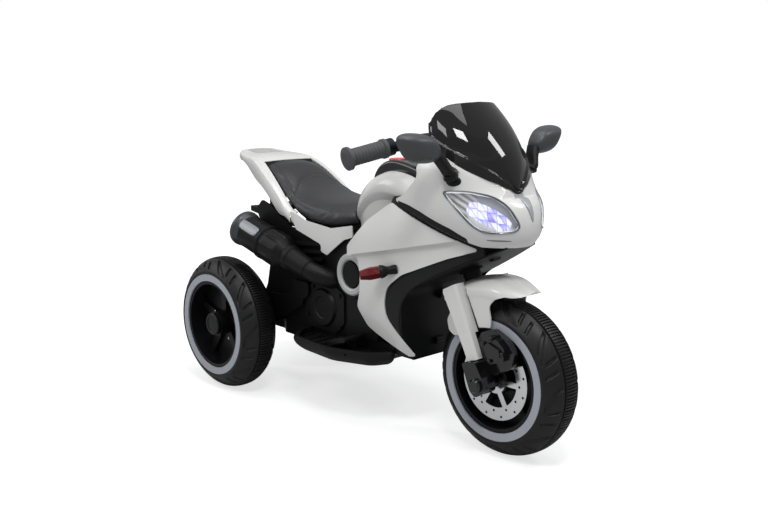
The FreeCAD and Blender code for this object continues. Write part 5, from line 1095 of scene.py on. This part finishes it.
# %% Seat lip
LIP_HALF, LIP_DROP, LIP_WALL = 0.0605, 0.3, 0.0012
LIP = np.array([(-0.2913, 0.4380), (-0.2913, 0.4592), (-0.2904, 0.4603), (-0.2892, 0.4590), (-0.2830, 0.4500),
                (-0.2760, 0.4480)])
y = np.linspace(-LIP_HALF, LIP_HALF, 40)[:, None]
points = xyz(LIP[:, 0], y, LIP[:, 1] - LIP_DROP * y ** 2)
sheet_piece("seat_lip", points, SATIN_BLACK, "chassis", flip=True, wall=LIP_WALL)
say_box("seat lip", points)

# %% [markdown]
# ## Start button
# The start button is a wide red disc that stands above the dash. It is one small profile turned round the
# upright axis of its well, with a rolled rim and a shallow dish on top.

# %% Start button
DISC_BASE = 0.005
# Radius, and height over the base, in mm.
DISC = MM * np.array([(0.2, 2.0), (18.2, 2.0), (18.2, 7.6), (17.6, 8.6), (16.4, 9.0), (14.6, 8.8),
                      (12.0, 8.2), (0.2, 8.0)])
low, high = np.array(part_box("start_button"))
middle = (low + high) / 2
across, tall, t = DISC[:, :1], DISC[:, 1:], circle(72)
points = xyz(middle[0] + across * np.cos(t), middle[1] + across * np.sin(t), high[2] - DISC_BASE + tall)
disc = sheet_piece("start_disc", points, BUTTON_RED, BODY_OF["start_button"], flip=True, angle=30,
                   close_cols=True)
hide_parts("start_button")
say_box("start disc", points)

# %% [markdown]
# ## Front fender
# The fender's front is a short raised brim: its side walls rise towards the tip, so the inside of the far
# wall shows under it. The copy of the solid is lifted at the tip by the square of the distance ahead, then
# trimmed with one wedge carried right across the wheel, and a boolean keeps the cut closed.

# %% Front fender
LIFT_START, LIFT_RUN, TIP_LIFT, WEDGE_HALF = 0.332, 0.034, 0.013, 0.2
WEDGE = np.array([(0.322, 0.2605), (0.3456, 0.2815), (0.3580, 0.2880), (0.42, 0.3000), (0.42, 0.15),
                  (0.322, 0.15)])
count = len(WEDGE)
outline = xyz(WEDGE[:, 0], -WEDGE_HALF, WEDGE[:, 1])
walls = [[i + count, (i + 1) % count + count, (i + 1) % count, i] for i in range(count)]
wedge_mesh = bpy.data.meshes.new("fender_wedge")
wedge_mesh.from_pydata(np.r_[outline, outline * [1, -1, 1]].tolist(), [],
                       [list(range(count)), list(range(2 * count - 1, count - 1, -1))] + walls)
wedge = bpy.data.objects.new("fender_wedge", wedge_mesh)
scene.collection.objects.link(wedge)
places, triangles = joined("front_fender")
ahead = np.maximum(0, places[:, 0] - LIFT_START) / LIFT_RUN
places = places + xyz(0, 0, TIP_LIFT * ahead ** 2)
fender = piece_from("front_fender_shell", places, triangles, GLOSS_WHITE, "steering")
trim = fender.modifiers.new("trim", "BOOLEAN")
trim.operation, trim.solver, trim.object = "DIFFERENCE", "EXACT", wedge
settle(fender)
bpy.data.objects.remove(wedge)
fender.data.set_sharp_from_angle(angle=math.radians(EDGE_ANGLE))
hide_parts("front_fender")
print("fender faces", len(triangles), "->", len(fender.data.polygons))

# %% [markdown]
# ## Small screws
# Bright screws show on the rear wheels, and black bolts on the brake. Each head is a low dome on a polar grid
# with a cross pressed into it. Heads that sit on one body share a mesh.

# %% Screw helpers
HEAD_ROWS, HEAD_COLS, HEAD_TALL, CROSS_DEEP, HEAD_WALL = 12, 36, 0.42, 0.3, 0.0006
SCREW_LIFT = 0.0002


def screw_heads(name, places, sign, radius, material, body):
    """Domes on a polar grid: the height is 0.42 radius times the root of one less the ring share squared, and
    a cross of two bars is pressed in. They face along Y with the given sign."""
    ring, t = np.linspace(0.002, 1, HEAD_ROWS)[:, None], circle(HEAD_COLS)
    u, v = ring * np.cos(t), ring * np.sin(t)
    cross = step_down(np.minimum(np.abs(u), np.abs(v)), 0.13, 0.06) * step_down(ring, 0.6, 0.08)
    tall = HEAD_TALL * np.sqrt(np.maximum(0, 1 - ring ** 2)) - CROSS_DEEP * cross
    points = places[:, None, None, :] + xyz(u, sign * tall, v) * radius
    faces = grid_faces(HEAD_ROWS, HEAD_COLS, close_cols=True)[:, ::sign]
    many = faces[None] + HEAD_ROWS * HEAD_COLS * np.arange(len(places))[:, None, None]
    made = piece_from(name, points.reshape(-1, 3), many.reshape(-1, 4), material, body, 40)
    thick = made.modifiers.new("wall", "SOLIDIFY")
    thick.thickness, thick.offset = HEAD_WALL, -1.0
    print(name, len(places))


def beside(node, x, z, sign):
    """Places on a solid's side, met along Y from the given side."""
    return laid_on(node, xyz(x, sign * SIDE_START, z), (0, -sign, 0), SCREW_LIFT)


print("screw helpers ready")

# %% Screws
REAR_AXLE = AXLE * [-1, 1, 1]
HUB_RING, HUB_TURNS = 0.036, np.radians([35, 155, 275])
BRAKE_LEAN = math.radians(27)
# Bolts of the brake in mm from the axle, in the brake's own leaning directions.
BOLTS = MM * np.array([(33, 31), (64, 34), (52, 64), (33, 61)])
hub_x, hub_z = REAR_AXLE[0] + HUB_RING * np.cos(HUB_TURNS), REAR_AXLE[2] + HUB_RING * np.sin(HUB_TURNS)
cos, sin = math.cos(BRAKE_LEAN), math.sin(BRAKE_LEAN)
bolt_x, bolt_z = AXLE[0] + BOLTS @ [cos, -sin], AXLE[2] + BOLTS @ [sin, cos]
for side, sign in (("right", -1), ("left", 1)):
    rim, leg = "rear_rim_" + side, "fork_leg_" + side
    screws, bolts = beside(rim, hub_x, hub_z, sign), beside(leg, bolt_x, bolt_z, sign)
    screw_heads("hub_screws_" + side, screws, sign, 0.0032, CHROME, BODY_OF[rim])
    screw_heads("brake_bolts_" + side, bolts, sign, 0.0034, GLOSS_BLACK, "steering")

# %% [markdown]
# ## Mirrors
# Each mirror is a smooth pod with a pointed outline on a broad flat arm. The pod is one outline scaled along
# its depth: out over the rear rim, then down to nothing at the front, following a quarter of a rounded
# curve. The arm is a rounded rectangle carried along a bent path, with a round foot at its lower end. The
# foot turns on a low pad that lies on the nose and stays with it. A bright film fills the rear recess.

# %% Mirror pods
POD, POD_WIDE, POD_TALL = np.array([0.258, -0.160, 0.5225]), 88, 52
POD_OUTLINE = np.array([(-0.5, 0.32), (-0.28, 0.5), (0.28, 0.42), (0.5, -0.1), (0.42, -0.5), (-0.2, -0.42)])
FILM = plated("mirror_film", (0.72, 0.74, 0.76), 0.05, 60.0)
TIP_SCALE = 0.001
pod_edge = corner_cut(POD_OUTLINE * [POD_WIDE, POD_TALL], 5, 0.24) * MM


def pod_rows(depth, scale, nudge):
    """Grid of outlines: each row has its own depth along X, scale about the outline's middle and nudge along
    Y."""
    middle = pod_edge.mean(0)
    flat = middle + (pod_edge - middle)[None] * scale[:, None, None]
    return POD + xyz(depth[:, None], flat[..., 0] + nudge[:, None], flat[..., 1])


t = np.linspace(0, np.pi / 2, 22)
depth = np.r_[-9.8, -9.8, -11.4, -12.0, -12.0, -11.0 + 29 * np.sin(t)] * MM
scale = np.r_[TIP_SCALE, 0.90, 0.915, 0.935, 0.975, np.maximum(np.cos(t), TIP_SCALE) ** 0.62]
nudge = np.r_[0, 0, 0, 0, 0, 8 * np.sin(t) ** 2] * MM
pod = pod_rows(depth, scale, nudge)
ring = np.linspace(0.002, 0.995, 10)
film = pod_rows(-0.0101 - 0.0009 * (1 - ring ** 2), 0.9 * ring, 0 * ring)
say_box("mirror pod", pod)

# %% Mirror arms
ARM_ROWS = 30
ARM_PATH = [(0.269, -0.1003, 0.4775), (0.2675, -0.1055, 0.4850), (0.262, -0.1125, 0.4980),
            (0.257, -0.1215, 0.5110)]
ARM_LEAN = np.array([0.87, 0.5])
ends = np.r_[0, 0:ARM_ROWS, ARM_ROWS - 1]
shut = np.r_[TIP_SCALE, np.ones(ARM_ROWS), TIP_SCALE][:, None]
path = curve_through(ARM_PATH, ARM_ROWS)[ends]
wide = np.interp(ends, [0, 6, 14, 29], [0.0120, 0.0125, 0.0115, 0.0110])[:, None] * shut
thick = np.interp(ends, [0, 6, 29], [0.0055, 0.0060, 0.0075])[:, None] * shut
t = circle(40)
across, out = (np.sign(f(t)) * np.abs(f(t)) ** 0.5 for f in (np.cos, np.sin))
arm = path[:, None, :] + xyz(wide * across, thick * out * ARM_LEAN[0], thick * out * ARM_LEAN[1])
say_box("mirror arm", arm)

# %% Mirror feet and pads
FOOT_PLACE, FOOT_AIM = np.array([0.269, -0.097, 0.472]), unit(np.array([0, -0.5, 0.87]))
# Profile of the foot in mm: height along its aim, and radius.
FOOT = MM * np.array([(0.3, 0.01), (0.3, 9.6), (2.2, 11.8), (4.6, 12.6), (7.0, 11.6), (10, 9), (10.4, 0.01)])
PAD_PLACE, PAD_AIM = np.array([0.2712, -0.0952, 0.4688]), unit(np.array([0.58, -0.79, 0.19]))
PAD_LEVEL = unit(np.array([0.79, 0.58, 0.0]))
PAD_HALF, PAD_TALL, PAD_RISE, PAD_DIP = 0.0128, 0.0088, 0.0026, 0.0042
FORWARD = np.array([1.0, 0.0, 0.0])
t = circle(40)[..., None]
tall, wide = FOOT[:, :1, None], FOOT[:, 1:, None]
foot = FOOT_PLACE + tall * FOOT_AIM + wide * (np.cos(t) * FORWARD + np.sin(t) * np.cross(FOOT_AIM, FORWARD))
share = np.linspace(0.002, 1, 14)[:, None, None]
oval = PAD_HALF * np.cos(t) * PAD_LEVEL + PAD_TALL * np.sin(t) * np.cross(PAD_AIM, PAD_LEVEL)
pad = PAD_PLACE + share * oval + (PAD_RISE - PAD_DIP * share ** 4) * PAD_AIM
say_box("mirror foot", foot)

# %% Mirrors
ARMS = pair("mirror_arm")
mirrored_pair("mirror_pad", pad, SATIN_BLACK, close_cols=True, wall=0.0008)
mirrored_pair("mirror_foot", foot, SATIN_BLACK, ARMS, flip=True, close_cols=True, angle=30)
shells = mirrored_pair("mirror_pod", pod, MIRROR_GREY, ARMS, close_cols=True, angle=35)
mirrored_pair("mirror_film", film, FILM, ARMS, close_cols=True, wall=0.0003)
mirrored_pair("mirror_stem", arm, SATIN_BLACK, ARMS, close_cols=True, angle=50)
for shell, node in zip(shells, pair("mirror")):
    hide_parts(node)
print("mirror pods", [shell.name for shell in shells])
